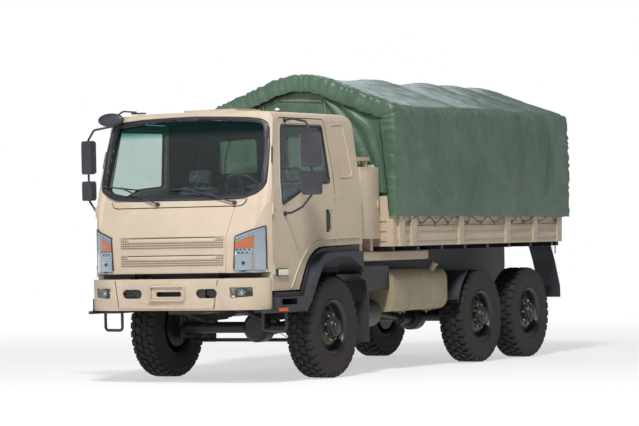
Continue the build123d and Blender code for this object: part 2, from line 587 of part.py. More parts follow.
# Cab. The body is what a side profile, a front profile, a plan outline and a leaning screen
# outline have in common; skins and hollows are the difference of two such bodies.
def cab_side():
    """The cab seen from the side: x, z and corner radius."""
    return rounded((
        (CAB_FRONT_X + 23, CAB_FRONT_BOTTOM, 0),
        (CAB_FRONT_X + 12, 1560, 900),
        (CAB_FRONT_X - 70, 1870, 200),
        (1150, 2790, 0),
        (960, 2866, 150),
        (-690, 2890, 230),
        (CAB_REAR_X, 1900, 400),
        (CAB_REAR_X, CAB_REAR_BOTTOM, 0),
        (ARCH_CORNER_X, ARCH_CORNER_Z, ARCH_RADIUS),
        (SILL_REAR_X, SILL_Z, 0),
        (SILL_FRONT_X, SILL_Z, 0),
        (SILL_FRONT_X, CAB_FRONT_BOTTOM, 0),
    ))


def cab_cross():
    """The cab seen from the front: y, z and corner radius."""
    right = ((CAB_HALF_WIDTH, 900, 0), (CAB_HALF_WIDTH, BELT_Z, 400), (ROOF_SIDE_HALF, ROOF_SIDE_Z, ROOF_RADIUS))
    left = tuple((-y, z, radius) for y, z, radius in reversed(right))
    return rounded(right + ((0, ROOF_TOP, 6000),) + left)


def bow_fronted(middle_x, shoulder, corner, rear_x):
    """A plan outline with a gently bowed front; shoulder and corner are x and y."""
    half = CAB_HALF_WIDTH + 60
    front = ThreePointArc((shoulder[0], -shoulder[1]), (middle_x, 0), shoulder)
    bend_x, bend_y = (shoulder[0] + corner[0]) / 2 + 34, (shoulder[1] + corner[1]) / 2 + 34
    left = ThreePointArc(shoulder, (bend_x, bend_y), corner)
    right = ThreePointArc((corner[0], -corner[1]), (bend_x, -bend_y), (shoulder[0], -shoulder[1]))
    back = Polyline(corner, (corner[0] - 60, half), (rear_x, half), (rear_x, -half),
                    (corner[0] - 60, -half), (corner[0], -corner[1]))
    return make_face([*front.edges(), *left.edges(), *back.edges(), *right.edges()])


def inset(face, amount):
    """The outline moved inwards, or outwards where the amount is negative."""
    return face if amount == 0 else offset(face, -amount)


def leaning(screen):
    """A screen outline, drawn at the screen's base, carried up and down along its lean."""
    foot = Plane(origin=(SCREEN_LEAN * (SCREEN_BASE_Z - CAB_LOW), 0, CAB_LOW)) * screen
    length = sqrt(1 + SCREEN_LEAN ** 2) * (CAB_HIGH - CAB_LOW)
    return extrude(foot, amount=length, dir=(-SCREEN_LEAN, 0, 1))


def upright_front(depth=0):
    """What lies behind the cab's upright lower front, its skin moved inwards by depth."""
    plan = bow_fronted(CAB_FRONT_X, (1405, 760), (1190, CAB_HALF_WIDTH), -2000)
    return along_z(inset(plan, depth), CAB_LOW, CAB_HIGH)


def leaning_front(depth=0):
    """What lies behind the cab's leaning upper front, its skin moved inwards by depth."""
    return leaning(inset(bow_fronted(1345, (1240, 960), (1130, CAB_HALF_WIDTH), -3000), depth))


def cab_profiles(depth=0):
    """What the cab's side and front profiles have in common, moved inwards by depth."""
    return along_y(inset(cab_side(), depth), -1400, 1400) & along_x(inset(cab_cross(), depth), -2000, 2000)


def cab_body(depth=0):
    """The cab's solid, its skin moved inwards by depth."""
    return cab_profiles(depth) & upright_front(depth) & leaning_front(depth)


def cab_room():
    """The cab's hollow, with a front of flat facets."""
    half = CAB_HALF_WIDTH
    plan_front = ((1170, half), (1330, 880), (1372, 740), (1400, 300))
    screen_front = ((1085, half), (1175, 930), (1262, 500), (1290, 200))
    faces = []
    for front in (plan_front, screen_front):
        right = tuple((x, -y) for x, y in reversed(front))
        faces.append(outline(((-3000, half),) + front + right + ((-3000, -half),)))
    return cab_profiles(CAB_WALL) & along_z(faces[0], CAB_LOW, CAB_HIGH) & leaning(faces[1])


def side_layer(outer, inner):
    """The layer of both cab sides between two depths."""
    return along_x(inset(cab_cross(), outer), -2000, 2000) - along_x(inset(cab_cross(), inner), -2000, 2000)


# Outlines on the cab, with x or y, z and corner radius
DOOR = rounded((
    (DOOR_FRONT_X, SILL_Z - 50, 0), (DOOR_FRONT_X, 1930, 120), (905, DOOR_TOP, 110), (-78, DOOR_TOP, 70),
    (DOOR_REAR_X + 8, 2215, 0), (DOOR_REAR_X, SILL_Z - 50, 0)))
DOOR_WINDOW = rounded((
    (985, 1838, 40), (975, 2117, 300), (862, 2705, 60), (-34, 2712, 50), (-88, 2085, 50), (392, 2050, 120)))
SCREEN = rounded((
    (-800, 1962, 60), (-985, 2098, 40), (-905, 2720, 60), (0, 2788, 3000), (905, 2720, 60), (985, 2098, 40),
    (800, 1962, 60)))
REAR_WINDOW = rounded((
    (190, 2240, 40), (190, 2620, 40), (690, 2600, 40), (690, 2240, 40)))
GRILLE_PANEL = rounded((
    (-656, CAB_FRONT_BOTTOM + 6, 20), (-664, 1560, 300), (-721, 1848, 24), (721, 1848, 24), (664, 1560, 300),
    (656, CAB_FRONT_BOTTOM + 6, 20)))
LAMP_SURROUND = rounded((
    (738, CAB_FRONT_BOTTOM + 6, 16), (764, 1542, 16), (1072, 1652, 30), (1072, CAB_FRONT_BOTTOM + 6, 40)))

outer_body = cab_body()


def proud(front, depth, face):
    """A piece that stands proud of a front of the cab, with the outline seen from ahead."""
    return (front(-depth) & along_x(face, 700, 1600)) - front()


tunnel = block(-900, TUNNEL_FRONT_X, -TUNNEL_HALF, TUNNEL_HALF, 800, TUNNEL_TOP)
tunnel_skin = block(-900, TUNNEL_FRONT_X + TUNNEL_WALL, -TUNNEL_HALF - TUNNEL_WALL, TUNNEL_HALF + TUNNEL_WALL,
                    800, TUNNEL_TOP + TUNNEL_WALL)
cab_shell = outer_body - along_x(SCREEN, 700, 1600)
cab_shell = cab_shell - (cab_room() - tunnel_skin) - tunnel
door_cut = side_layer(-30, DOOR_WALL + DOOR_STOP_GAP) & along_y(DOOR, 600, 1300)
cab_shell -= door_cut
cab_shell -= twin(door_cut)
for rear_window in (REAR_WINDOW, mirror(REAR_WINDOW, about=Plane.YZ)):
    cab_shell -= along_x(rear_window, -900, -600)
MARKER_X = 700
MARKER_Y = 890
MARKER_RADIUS = 34
MARKER_BASE = 2832
MARKER_TOP = 2886
for y in (-MARKER_Y, MARKER_Y):
    cab_shell -= along_z(Pos(MARKER_X, y) * Circle(MARKER_RADIUS), MARKER_BASE, CAB_HIGH)
HATCH_X = (60, 640)
HATCH_HALF = 330
HATCH_GAP = 2
HATCH_WALL = 28
HATCH_PIVOT_X = HATCH_X[0] - 16
HATCH_PIVOT_Z = ROOF_TOP + 12
HATCH_PIN_RADIUS = 8
HATCH_LUG_RADIUS = 13
HATCH_LUG_Y = 215
HINGE_SPLIT = 0.5
hatch_hole = Pos(sum(HATCH_X) / 2, 0) * RectangleRounded(HATCH_X[1] - HATCH_X[0], 2 * HATCH_HALF, 50)
cab_shell -= along_z(offset(hatch_hole, -30), 2700, 3000)
arm_outline = outline(((CAB_PIVOT_X - 6, CAB_PIVOT_Z - 29), (CAB_PIVOT_X - 105, CAB_PIVOT_Z + 20),
                       (CAB_PIVOT_X - 105, CAB_PIVOT_Z + 75), (CAB_PIVOT_X - 75, CAB_FRONT_BOTTOM + 30),
                       (CAB_PIVOT_X - 15, CAB_FRONT_BOTTOM + 30), (CAB_PIVOT_X - 40, CAB_PIVOT_Z + 80),
                       (CAB_PIVOT_X + 14, CAB_PIVOT_Z + 24)))
arm_face = arm_outline + Pos(CAB_PIVOT_X, CAB_PIVOT_Z) * Circle(30)
arm_face -= Pos(CAB_PIVOT_X, CAB_PIVOT_Z) * Circle(PIVOT_PIN_RADIUS + RUNNING_FIT)
cab_arm = along_y(arm_face, CAB_PIVOT_Y - CAB_ARM_WALL / 2, CAB_PIVOT_Y + CAB_ARM_WALL / 2)
cab_shell = cab_shell + cab_arm + twin(cab_arm)

HINGE_ZS = (1130, 1760)
HINGE_HEIGHT = 120


def hinge_leaf(x0, x1, z0, z1):
    """A hinge knuckle on the door's hinge line with its leaf."""
    knuckle_part = along_z(Pos(HINGE_X, HINGE_Y) * Circle(HINGE_RADIUS), z0, z1)
    return knuckle_part + block(x0, x1, CAB_HALF_WIDTH, HINGE_Y, z0, z1)


for z in HINGE_ZS:
    leaf = hinge_leaf(HINGE_X, SILL_FRONT_X - 10, z, z + HINGE_HEIGHT / 2 - HINGE_SPLIT)
    cab_shell = cab_shell + leaf + twin(leaf)
for y in (-HATCH_LUG_Y, HATCH_LUG_Y):
    lug = along_y(Pos(HATCH_PIVOT_X, HATCH_PIVOT_Z) * Circle(HATCH_LUG_RADIUS), y - 10, y + 10)
    lug += block(HATCH_PIVOT_X - HATCH_LUG_RADIUS, HATCH_PIVOT_X + HATCH_LUG_RADIUS, y - 10, y + 10,
                 ROOF_TOP - CAB_WALL / 2, HATCH_PIVOT_Z)
    lug -= along_y(Pos(HATCH_PIVOT_X, HATCH_PIVOT_Z) * Circle(HATCH_PIN_RADIUS + RUNNING_FIT), y - 10, y + 10)
    cab_shell += lug
save("cab_shell", cab_shell)

glass_outer = cab_body(GLASS_SINK)
glass_inner = cab_body(GLASS_SINK + GLASS)
windshield = (glass_outer & along_x(SCREEN, 700, 1600)) - glass_inner
rear_panes = [(glass_outer & along_x(face, -900, -600)) - glass_inner
              for face in (REAR_WINDOW, mirror(REAR_WINDOW, about=Plane.YZ))]
save("cab_glass", windshield, *rear_panes)
save("windshield_seal", proud(leaning_front, SEAL_PROUD, offset(SCREEN, SEAL_WIDTH) - SCREEN))

# Front panel in two parts with a hairline seam: the lower has the recesses of the two
# perforated bands, given by y half-width and z at their lower and upper edges
GRILLE_BANDS = ((640, 1416, 648, 1540), (632, 1230, 640, 1354))
PANEL_SEAM_Z = 1545
lower_half = block(-1000, 2000, -1000, 1000, CAB_LOW, PANEL_SEAM_Z)
lower_panel = proud(upright_front, PANEL_PROUD, GRILLE_PANEL) & lower_half
for low_half, low_z, high_half, high_z in GRILLE_BANDS:
    band = outline(((-low_half, low_z), (-high_half, high_z), (high_half, high_z), (low_half, low_z)))
    lower_panel -= along_x(band, 1100, 1700) - upright_front(-GRILLE_BACK)
upper_panel = proud(leaning_front, PANEL_PROUD, GRILLE_PANEL) - Pos(0, 0, SOFT_CLEARANCE) * lower_half
save("front_panel", lower_panel, upper_panel)

left_lamp = proud(upright_front, LAMP_PROUD, LAMP_SURROUND)
marker = along_z(Pos(MARKER_X, MARKER_Y) * Circle(MARKER_RADIUS), MARKER_BASE, MARKER_TOP)
save("cab_lamps", *both([left_lamp, marker]))

hatch = (along_z(hatch_hole, 2700, 3000) & cab_body(-HATCH_GAP - HATCH_WALL)) - cab_body(-HATCH_GAP)
hatch += along_y(Pos(HATCH_PIVOT_X, HATCH_PIVOT_Z) * Circle(HATCH_PIN_RADIUS), -HATCH_LUG_Y - 12, HATCH_LUG_Y + 12)
hatch += block(HATCH_PIVOT_X, HATCH_X[0] + 12, -HATCH_LUG_Y + 15, HATCH_LUG_Y - 15,
               HATCH_PIVOT_Z - HATCH_PIN_RADIUS, HATCH_PIVOT_Z + HATCH_PIN_RADIUS - 4)
save("roof_hatch", hatch)

# Doors: an outer skin, a narrower inner wall and the window
INNER_DOOR = offset(DOOR, -SEAM - DOOR_RABBET)
OUTER_DOOR = offset(DOOR, -SEAM)
door = (outer_body & along_y(OUTER_DOOR, 600, 1300)) - along_x(inset(cab_cross(), DOOR_SKIN), -2000, 2000)
lining = (outer_body & along_y(INNER_DOOR, 600, 1300)) - along_x(inset(cab_cross(), DOOR_WALL), -2000, 2000)
door += lining
door -= along_y(DOOR_WINDOW, 600, 1300)
HANDLE_X = (-88, 54)
HANDLE_Z = (1564, 1805)
door -= block(*HANDLE_X, CAB_HALF_WIDTH - 26, CAB_HALF_WIDTH + 10, *HANDLE_Z)
door += block(HANDLE_X[0] + 30, HANDLE_X[0] + 62, CAB_HALF_WIDTH - 12, CAB_HALF_WIDTH, *HANDLE_Z)
for z in HINGE_ZS:
    door += hinge_leaf(HINGE_X - 60, HINGE_X, z + HINGE_HEIGHT / 2 + HINGE_SPLIT, z + HINGE_HEIGHT)
save("door_left", door)
save("door_right", twin(door))
door_glass = along_y(DOOR_WINDOW, 600, 1300) & side_layer(GLASS_SINK, GLASS_SINK + GLASS)
save("door_glass_left", door_glass)
save("door_glass_right", twin(door_glass))

# Mirrors on the doors: a bent arm and two heads turned towards the driver
MIRROR_X = 883
MIRROR_Y = 1399
MIRROR_ARM = ((760, 990, 2745), (780, 1120, 2762), (868, 1330, 2722), (MIRROR_X, MIRROR_Y, 2610),
              (MIRROR_X, MIRROR_Y, 1960), (905, 1290, 1830), (925, 1180, 1775), (930, 1080, 1765))
MIRROR_TUBE = 12
MIRROR_FEET = (((760, 996, 2745), (760, 1016, 2745)), ((930, 1080, 1765), (930, 1104, 1765)))
MIRROR_FOOT_RADIUS = 26
MIRROR_TURN = 28
MIRROR_HEADS = ((2425, 362), (2062, 212))
MIRROR_WIDTH = 217
MIRROR_DEPTH = 58
mirror_left = bent_tube(MIRROR_ARM, MIRROR_TUBE, 3 * MIRROR_TUBE)
for foot_start, foot_end in MIRROR_FEET:
    mirror_left += rod(foot_start, foot_end, MIRROR_FOOT_RADIUS)
turn = radians(MIRROR_TURN)
for z, height in MIRROR_HEADS:
    glass_plane = Plane(origin=(MIRROR_X, MIRROR_Y, z), x_dir=(-sin(turn), cos(turn), 0),
                        z_dir=(-cos(turn), -sin(turn), 0))
    mirror_left += extrude(glass_plane.offset(-MIRROR_DEPTH / 2) * RectangleRounded(MIRROR_WIDTH, height, 30),
                           amount=MIRROR_DEPTH)
mirror_left -= along_x(cab_cross(), -2000, 2000)
save("mirror_left", mirror_left)
save("mirror_right", twin(mirror_left))

# Inside the cab: seats, dashboard and steering wheel
SEAT_Y = 560
seat_cushion = along_y(outline(((80, 1550), (560, 1580), (560, 1660), (90, 1640)), 30), SEAT_Y - 250, SEAT_Y + 250)
seat_base = block(120, 520, SEAT_Y - 200, SEAT_Y + 200, TUNNEL_TOP + TUNNEL_WALL, 1570)
seat_back = along_y(outline(((-60, 1640), (60, 1620), (-40, 2280), (-130, 2260)), 30), SEAT_Y - 240, SEAT_Y + 240)
save("seats", *both([joined([seat_cushion, seat_base, seat_back])]))
dash_face = outline(((1180, 1640), (1350, 1700), (1310, 1890), (1120, 1905), (1020, 1820), (1040, 1660)), 25)
dash_plan = outline(((900, -990), (1110, -990), (1165, -930), (1250, -500), (1280, -200), (1280, 200), (1250, 500),
                     (1165, 930), (1110, 990), (900, 990)))
dash = along_y(dash_face, -1000, 1000) & along_z(dash_plan, 1500, 2000)
dash += block(1080, 1240, -160, 160, TUNNEL_TOP + TUNNEL_WALL, 1720)
WHEEL_CENTRE = (850, 560, 2010)
column = rod((1140, 560, 1750), WHEEL_CENTRE, 28)
steering_plane = Plane(origin=WHEEL_CENTRE, z_dir=(-0.75, 0, 0.67))
ring = extrude(steering_plane * (Circle(232) - Circle(208)), amount=22)
spokes = extrude(steering_plane * (Rectangle(430, 34) + Rectangle(34, 430)), amount=14)
hub_disc = extrude(steering_plane * Circle(52), amount=24)
save("dashboard", joined([dash, column, ring, spokes, hub_disc]))

# Bumper: a bowed face with short flanges, its lamp, tow and plate openings
bumper = along_z(bumper_plan(0), BUMPER_BOTTOM, BUMPER_TOP)
bumper -= along_z(bumper_plan(BUMPER_FLANGE_DEPTH), BUMPER_BOTTOM - 1, BUMPER_TOP + 1)
bumper -= along_z(bumper_plan(BUMPER_WALL), BUMPER_BOTTOM + BUMPER_WALL, BUMPER_TOP - BUMPER_WALL)
PLATE_SLOT = (157, 26)
PLATE_FRAME = (210, 62)
PLATE_Z = 945
slot_face = Pos(0, PLATE_Z) * RectangleRounded(2 * PLATE_SLOT[0], 2 * PLATE_SLOT[1], 20)
frame_face = Pos(0, PLATE_Z) * RectangleRounded(2 * PLATE_FRAME[0], 2 * PLATE_FRAME[1], 24) - slot_face
bumper -= along_x(slot_face, 1400, 1600)
TOW_HOLE_Y = 460
tow_face = Pos(TOW_HOLE_Y, PLATE_Z + 4) * SlotOverall(250, 96)
fog_face = rounded(((745, 900, 10), (735, 1012, 10), (968, 1012, 10), (968, 916, 10)))
for face in (tow_face, fog_face):
    opening = along_x(face, 1300, 1600)
    bumper -= opening
    bumper -= twin(opening)
bumper += along_x(frame_face, 1490, FRONT_OVERHANG)
# Room for the cab's arms and sill as the cab tilts
ARM_NOTCH_X = CAB_PIVOT_X + 38
notch = block(CAB_PIVOT_X - 60, ARM_NOTCH_X, CAB_PIVOT_Y - 44, CAB_PIVOT_Y + 44, BUMPER_TOP - BUMPER_WALL - 1,
              BUMPER_TOP + 1)
bumper -= notch
bumper -= twin(notch)
bumper -= along_y(outline(((BUMPER_REAR_X - 1, BUMPER_TOP - 34), (BUMPER_REAR_X - 1, BUMPER_TOP + 1),
                           (BUMPER_REAR_X + 40, BUMPER_TOP + 1))), -BUMPER_HALF_WIDTH - 1, BUMPER_HALF_WIDTH + 1)
save("bumper", bumper)
fog_housing = along_x(offset(fog_face, -1), 1340, 1600) & along_z(bumper_plan(14), 800, 1100)
fog_housing -= along_z(bumper_plan(120), 700, 1200)
tail_lamp = block(BED_REAR_X + 14, BED_REAR_X + 60, 950, 1130, BED_BOTTOM - 150, BED_BOTTOM - 52)
tail_lamp += block(BED_REAR_X + 14, BED_REAR_X + 30, 1000, 1080, BED_BOTTOM - 60, BEARER_BOTTOM)
save("chassis_lamps", *both([fog_housing, tail_lamp]))
TOW_PLATE_X = CAB_PIVOT_X + PIVOT_BASE_HALF
TOW_PIN_RADIUS = 9
tow_jaw = block(TOW_PLATE_X, TOW_PLATE_X + 5, CAB_PIVOT_Y - 50, CAB_PIVOT_Y + 50, 905, 1000)
for z in (932, 964):
    tow_jaw += block(TOW_PLATE_X, TOW_PLATE_X + 26, CAB_PIVOT_Y - 40, CAB_PIVOT_Y + 40, z, z + 12)
tow_jaw += along_z(Pos(TOW_PLATE_X + 15, CAB_PIVOT_Y) * Circle(TOW_PIN_RADIUS), 926, 984)
PINTLE_Z = 960
pintle = block(FRAME_REAR_X - 20, FRAME_REAR_X, -150, 150, PINTLE_Z - 110, PINTLE_Z + 110)
pintle += rod((FRAME_REAR_X - 20, 0, PINTLE_Z), (FRAME_REAR_X - 50, 0, PINTLE_Z), 34)
pintle_ring = along_z(Pos(FRAME_REAR_X - 80, 0) * (Circle(46) - Circle(24)), PINTLE_Z - 22, PINTLE_Z + 22)
save("tow_fittings", pintle + pintle_ring, *both([tow_jaw]))

# Wings, steps and the tubes under them
def wing_outline(margin):
    """The wing from the side, its edge towards the cab drawn back by margin."""
    gap = FENDER_GAP + margin
    return rounded((
        (-590, ARCH_CORNER_Z + WING_REAR_RISE - gap, 0),
        (ARCH_CORNER_X - gap * 0.4, ARCH_CORNER_Z - gap, ARCH_RADIUS - gap),
        (SILL_REAR_X - gap * 0.8, SILL_Z - gap, 0), (STEP_FRONT_X, SILL_Z - gap, 0), (STEP_FRONT_X, 768, 0),
        (1372, 768, 0), (1372, STEP_BOTTOM, 0), (659, STEP_BOTTOM, 0), (549, 851, 0), (413, 1058, 0), (290, 1215, 0),
        (124, 1275, 0), (-95, 1303, 0), (-315, 1289, 0), (-557, 1176, 0), (-590, 1122, 0)))


# The liner's inner edge stands clear of the steered tyre
LINER_HOLE = outline(((706, 600), (706, 733), (598, 851), (455, 1058), (322, 1215), (140, 1282), (-95, 1303),
                      (-315, 1289), (-557, 1176), (-590, 1122), (-590, 600)))
wing = along_y(wing_outline(0), 1060, FENDER_FACE_Y)
wing += along_y(wing_outline(WING_LIP_HEIGHT), FENDER_FACE_Y, FENDER_OUTER_Y)
liner = offset(LINER_HOLE, FENDER_LINER) - LINER_HOLE
liner &= outline(((-630, 1122), (-630, 1500), (730, 1500), (730, STEP_BOTTOM), (300, STEP_BOTTOM), (-300, 1122)))
wing += along_y(liner, 640, 1060)
wing += block(SILL_REAR_X + 60, STEP_FRONT_X, STEP_BOX_INNER_Y, 1060, STEP_BOTTOM, SILL_Z - 60)
FOOTHOLE_TOP = SILL_Z - 85
wing -= block(860, 1160, 1000, FENDER_OUTER_Y + 1, 815, FOOTHOLE_TOP)
# The step narrows towards the bumper's end
wing -= along_z(outline(((1130, FENDER_OUTER_Y + 1), (1400, FENDER_OUTER_Y + 1), (1400, BUMPER_HALF_WIDTH))), 700, 1000)
# The arch and the step are two mouldings that meet under the door's corner
WING_SEAM_X = SILL_REAR_X - 0.8 * FENDER_GAP
arch_moulding = wing & block(-700, WING_SEAM_X, 600, FENDER_OUTER_Y + 1, 600, 1500)
step_moulding = wing & block(WING_SEAM_X, 1500, 600, FENDER_OUTER_Y + 1, 600, 1500)
save("wings", *both([arch_moulding, step_moulding]))
tube_step = bent_tube(((1010, 1130, 760), (1010, 1130, 552), (1062, 880, 552), (1062, 880, 760)), STEP_TUBE_RADIUS, 40)
tube_step &= block(900, 1200, 800, 1200, 500, STEP_BOTTOM)
save("tube_steps", *both([tube_step]))

# Mudguards behind the front wheels and round the rear ones
front_flap = outline(((-556, 1110), (-750, 1035), (-812, 810), (-800, 350), (-788, 350), (-798, 806), (-740, 1022),
                      (-556, 1096)))
guard = Pos(REAR_AXLE_XS[0], AXLE_Z) * (Circle(652) - Circle(640))
guard &= outline(((REAR_AXLE_XS[0] + 240, 1400), (REAR_AXLE_XS[0] + 800, 1400), (REAR_AXLE_XS[0] + 800, 720),
                  (REAR_AXLE_XS[0] + 500, 720)))
guard_flap = outline(((REAR_AXLE_XS[0] + 596, 760), (REAR_AXLE_XS[0] + 708, 752), (REAR_AXLE_XS[0] + 708, 764),
                      (REAR_AXLE_XS[0] + 600, 772)))
guard_arm = block(REAR_AXLE_XS[0] + 460, REAR_AXLE_XS[0] + 500, FRAME_HALF_WIDTH, 900, 1000, 1030)
rear_flap = outline(((-5462, BEARER_BOTTOM), (-5570, 1160), (-5708, 840), (-5712, 700), (-5702, 700), (-5698, 838),
                     (-5560, 1156), (-5450, BEARER_BOTTOM)))
guards = [along_y(front_flap, 850, 1120), along_y(guard, 840, 1140) + along_y(guard_flap, 840, 1140)
          + guard_arm,
          along_y(rear_flap, 840, 1140)]
save("mudguards", *both(guards))

# Under the bed: battery box, tanks, silencer and boxes
battery_box = block(-1500, -866, FRAME_HALF_WIDTH, 1000, 905, 1200)
battery_box = chamfer(battery_box.edges().filter_by(Axis.X).group_by(Axis.Y)[-1], 25)
save("battery_box", battery_box)
TANK_X = (-2820, -1515)
tank_face = rounded(((500, 655, 60), (500, 1130, 60), (1050, 1130, 130), (1050, 655, 130)))
tank = along_x(tank_face, *TANK_X)
for x in (-1930, -2570):
    tank += along_x(offset(tank_face, 6), x - 20, x + 20)
    tank += block(x - 30, x + 30, FRAME_HALF_WIDTH, 520, 700, 1000)
FILLER = ((-2550, 970, 1095), (-2550, 1030, 1185), (-2550, 1038, 1197))
tank += rod(FILLER[0], FILLER[1], 40) + rod(FILLER[1], FILLER[2], 46)
save("fuel_tank", tank)
stowage = block(*TANK_X, -1050, -500, 655, 1130)
stowage = fillet(stowage.edges().filter_by(Axis.X), 24)
for x in (-1930, -2570):
    stowage += block(x - 30, x + 30, -510, -FRAME_HALF_WIDTH, 700, 1000)
long_box = block(-2490, -800, 620, 985, 1232, BEARER_BOTTOM)
long_box = fillet(long_box.edges().filter_by(Axis.X).group_by(Axis.Y)[-1], 20)
save("stowage_boxes", stowage, long_box, twin(long_box))
air_tank = rod((-1395, 800, 650), (-985, 800, 650), 150)
for x in (-1300, -1080):
    air_tank += block(x - 18, x + 18, 780, 820, 780, 905)
silencer = rod((-1450, -720, 760), (-870, -720, 760), 130)
for x in (-1300, -1000):
    silencer += block(x - 18, x + 18, -740, -700, 880, 960) + block(x - 18, x + 18, -740, -FRAME_HALF_WIDTH, 940, 970)
save("air_tank", air_tank)
save("silencer", silencer)

# Cabinet behind the cab, on two feet
cabinet = fillet(block(-1235, -794, 560, 1050, 1480, 2270).edges().filter_by(Axis.Z), 25)
for x in (-1150, -900):
    cabinet += block(x - 30, x + 30, 620, 980, BEARER_BOTTOM, 1480)
cabinet += block(-1200, -1150, 880, 920, 2270, 2352) + block(-1230, -990, 870, 930, 2345, 2385)
save("cabinet", cabinet)

# Load bed: floor on bearers and sills, headboard, ribbed sides and tailgate
bed_floor = block(BED_REAR_X, BED_FRONT_X - BED_WALL, -BED_HALF_WIDTH + BED_WALL, BED_HALF_WIDTH - BED_WALL,
                  FLOOR_TOP - FLOOR_WALL, FLOOR_TOP)
BEARER_XS = (-1330, -1915, -2500, -3085, -3670, -4255, -4840, -5450, BED_REAR_X + BEARER_WIDTH / 2)
for x in BEARER_XS:
    bed_floor += block(x - BEARER_WIDTH / 2, x + BEARER_WIDTH / 2, -BED_HALF_WIDTH + BED_WALL,
                       BED_HALF_WIDTH - BED_WALL, BEARER_BOTTOM, FLOOR_TOP - FLOOR_WALL)
for y in (-SPRING_Y, SPRING_Y):
    bed_floor += block(BED_REAR_X + BEARER_WIDTH / 2, BED_FRONT_X - BED_WALL, y - SUBFRAME_WIDTH / 2, y + SUBFRAME_WIDTH / 2,
                       FRAME_TOP, BEARER_BOTTOM)
GATE_EYES = (-900, 0, 900)
gate_pivot = Pos(GATE_PIVOT_X, GATE_PIVOT_Z)
bracket_face = outline(((GATE_PIVOT_X - 12, GATE_PIVOT_Z - 12), (GATE_PIVOT_X + 8, GATE_PIVOT_Z + 2),
                        (BED_REAR_X, GATE_PIVOT_Z), (BED_REAR_X, BEARER_BOTTOM + 20)))
bracket_face += gate_pivot * Circle(GATE_EYE_RADIUS)
for y in GATE_EYES:
    bed_floor += along_y(bracket_face, y + 40, y + 70)
    bed_floor += along_y(gate_pivot * Circle(GATE_PIN_RADIUS), y - 30, y + 55)
save("bed_floor", bed_floor)

RIB_ZS = (1450, 1560, 1670)
POSTS = (-1410, -1690, -2860, -4090, -4840, -5530)
headboard = block(BED_FRONT_X - BED_WALL, BED_FRONT_X, -BED_HALF_WIDTH, BED_HALF_WIDTH, BED_BOTTOM, BED_SIDE_TOP)
for z in RIB_ZS:
    headboard += block(BED_FRONT_X, BED_FRONT_X + 12, -BED_HALF_WIDTH + 90, BED_HALF_WIDTH - 90, z, z + 50)
save("headboard", headboard)
bed_side = block(BED_REAR_X, BED_FRONT_X - BED_WALL, BED_HALF_WIDTH - BED_WALL, BED_HALF_WIDTH, BED_BOTTOM, BED_SIDE_TOP)
for z in RIB_ZS:
    rib = outline(((BED_HALF_WIDTH, z), (BED_HALF_WIDTH + 12, z + 12), (BED_HALF_WIDTH + 12, z + 50),
                   (BED_HALF_WIDTH, z + 62)))
    bed_side += along_x(rib, BED_REAR_X + 60, BED_FRONT_X - 80)
for x in POSTS:
    post = outline(((x - 52, BED_BOTTOM), (x - 80, BED_SIDE_TOP), (x + 80, BED_SIDE_TOP), (x + 52, BED_BOTTOM)))
    bed_side += along_y(post, BED_HALF_WIDTH, BED_HALF_WIDTH + POST_DEPTH)
save("bed_sides", *both([bed_side]))

gate_half = BED_HALF_WIDTH - BED_WALL - GATE_SIDE_GAP
gate_inner = BED_REAR_X - GATE_GAP
gate_outer = gate_inner - GATE_WALL
tailgate = block(gate_outer, gate_inner, -gate_half, gate_half, GATE_PIVOT_Z + 8, BED_SIDE_TOP - 20)
for z in RIB_ZS:
    tailgate += block(gate_outer - 10, gate_outer, -gate_half + 80, gate_half - 80, z + 20, z + 70)
for y in GATE_EYES:
    tailgate += along_y(gate_pivot * Circle(GATE_EYE_RADIUS), y - 30, y + 34)
    tailgate += block(GATE_PIVOT_X, gate_outer, y - 30, y + 34, GATE_PIVOT_Z + 4, GATE_PIVOT_Z + 90)
    tailgate -= along_y(gate_pivot * Circle(GATE_PIN_RADIUS + RUNNING_FIT), y - 30, y + 34)
save("tailgate", tailgate)


# Canopy: one sheet over five bows, open at the rear, with a curtain across the front
def canopy_face(depth):
    """The canopy's section, moved inwards by depth."""
    half = CANOPY_HALF_WIDTH - depth
    shoulder = (half, CANOPY_SHOULDER_Z - depth, CANOPY_SHOULDER_RADIUS - depth)
    ridge = (0, CANOPY_RIDGE_Z - depth, CANOPY_RIDGE_RADIUS - depth)
    return rounded(((half, CANOPY_BOTTOM, 0), shoulder, ridge, (-half, shoulder[1], shoulder[2]),
                    (-half, CANOPY_BOTTOM, 0)))


canopy = along_x(canopy_face(0), CANOPY_REAR_X, CANOPY_FRONT_X)
canopy -= along_x(canopy_face(CANOPY_WALL), CANOPY_REAR_X, CANOPY_FRONT_X)
save("canopy", canopy)
BOW_DEPTH = CANOPY_WALL + SOFT_CLEARANCE
bow_face = canopy_face(BOW_DEPTH) - canopy_face(BOW_DEPTH + 2 * BOW_RADIUS)
bow_face &= outline(((-2000, BED_SIDE_TOP), (-2000, 4000), (2000, 4000), (2000, BED_SIDE_TOP)))
save("bows", *[along_x(bow_face, x - BOW_RADIUS, x + BOW_RADIUS) for x in BOW_XS])
curtain_face = canopy_face(BOW_DEPTH)
curtain_face &= outline(((-2000, BED_SIDE_TOP + SOFT_CLEARANCE), (-2000, 4000), (2000, 4000),
                         (2000, BED_SIDE_TOP + SOFT_CLEARANCE)))
save("front_curtain", along_x(curtain_face, BED_FRONT_X - BED_WALL, BED_FRONT_X - BED_WALL + CANOPY_WALL))
ROLL_X = BOW_XS[-1] - BOW_RADIUS - SOFT_CLEARANCE - ROLL_RADIUS
ROLL_END_Y = 1080
roof_slope = (CANOPY_RIDGE_Z - CANOPY_SHOULDER_Z) / CANOPY_HALF_WIDTH
roll_drop = (CANOPY_WALL + ROLL_CLEARANCE + ROLL_RADIUS) * sqrt(1 + roof_slope ** 2)
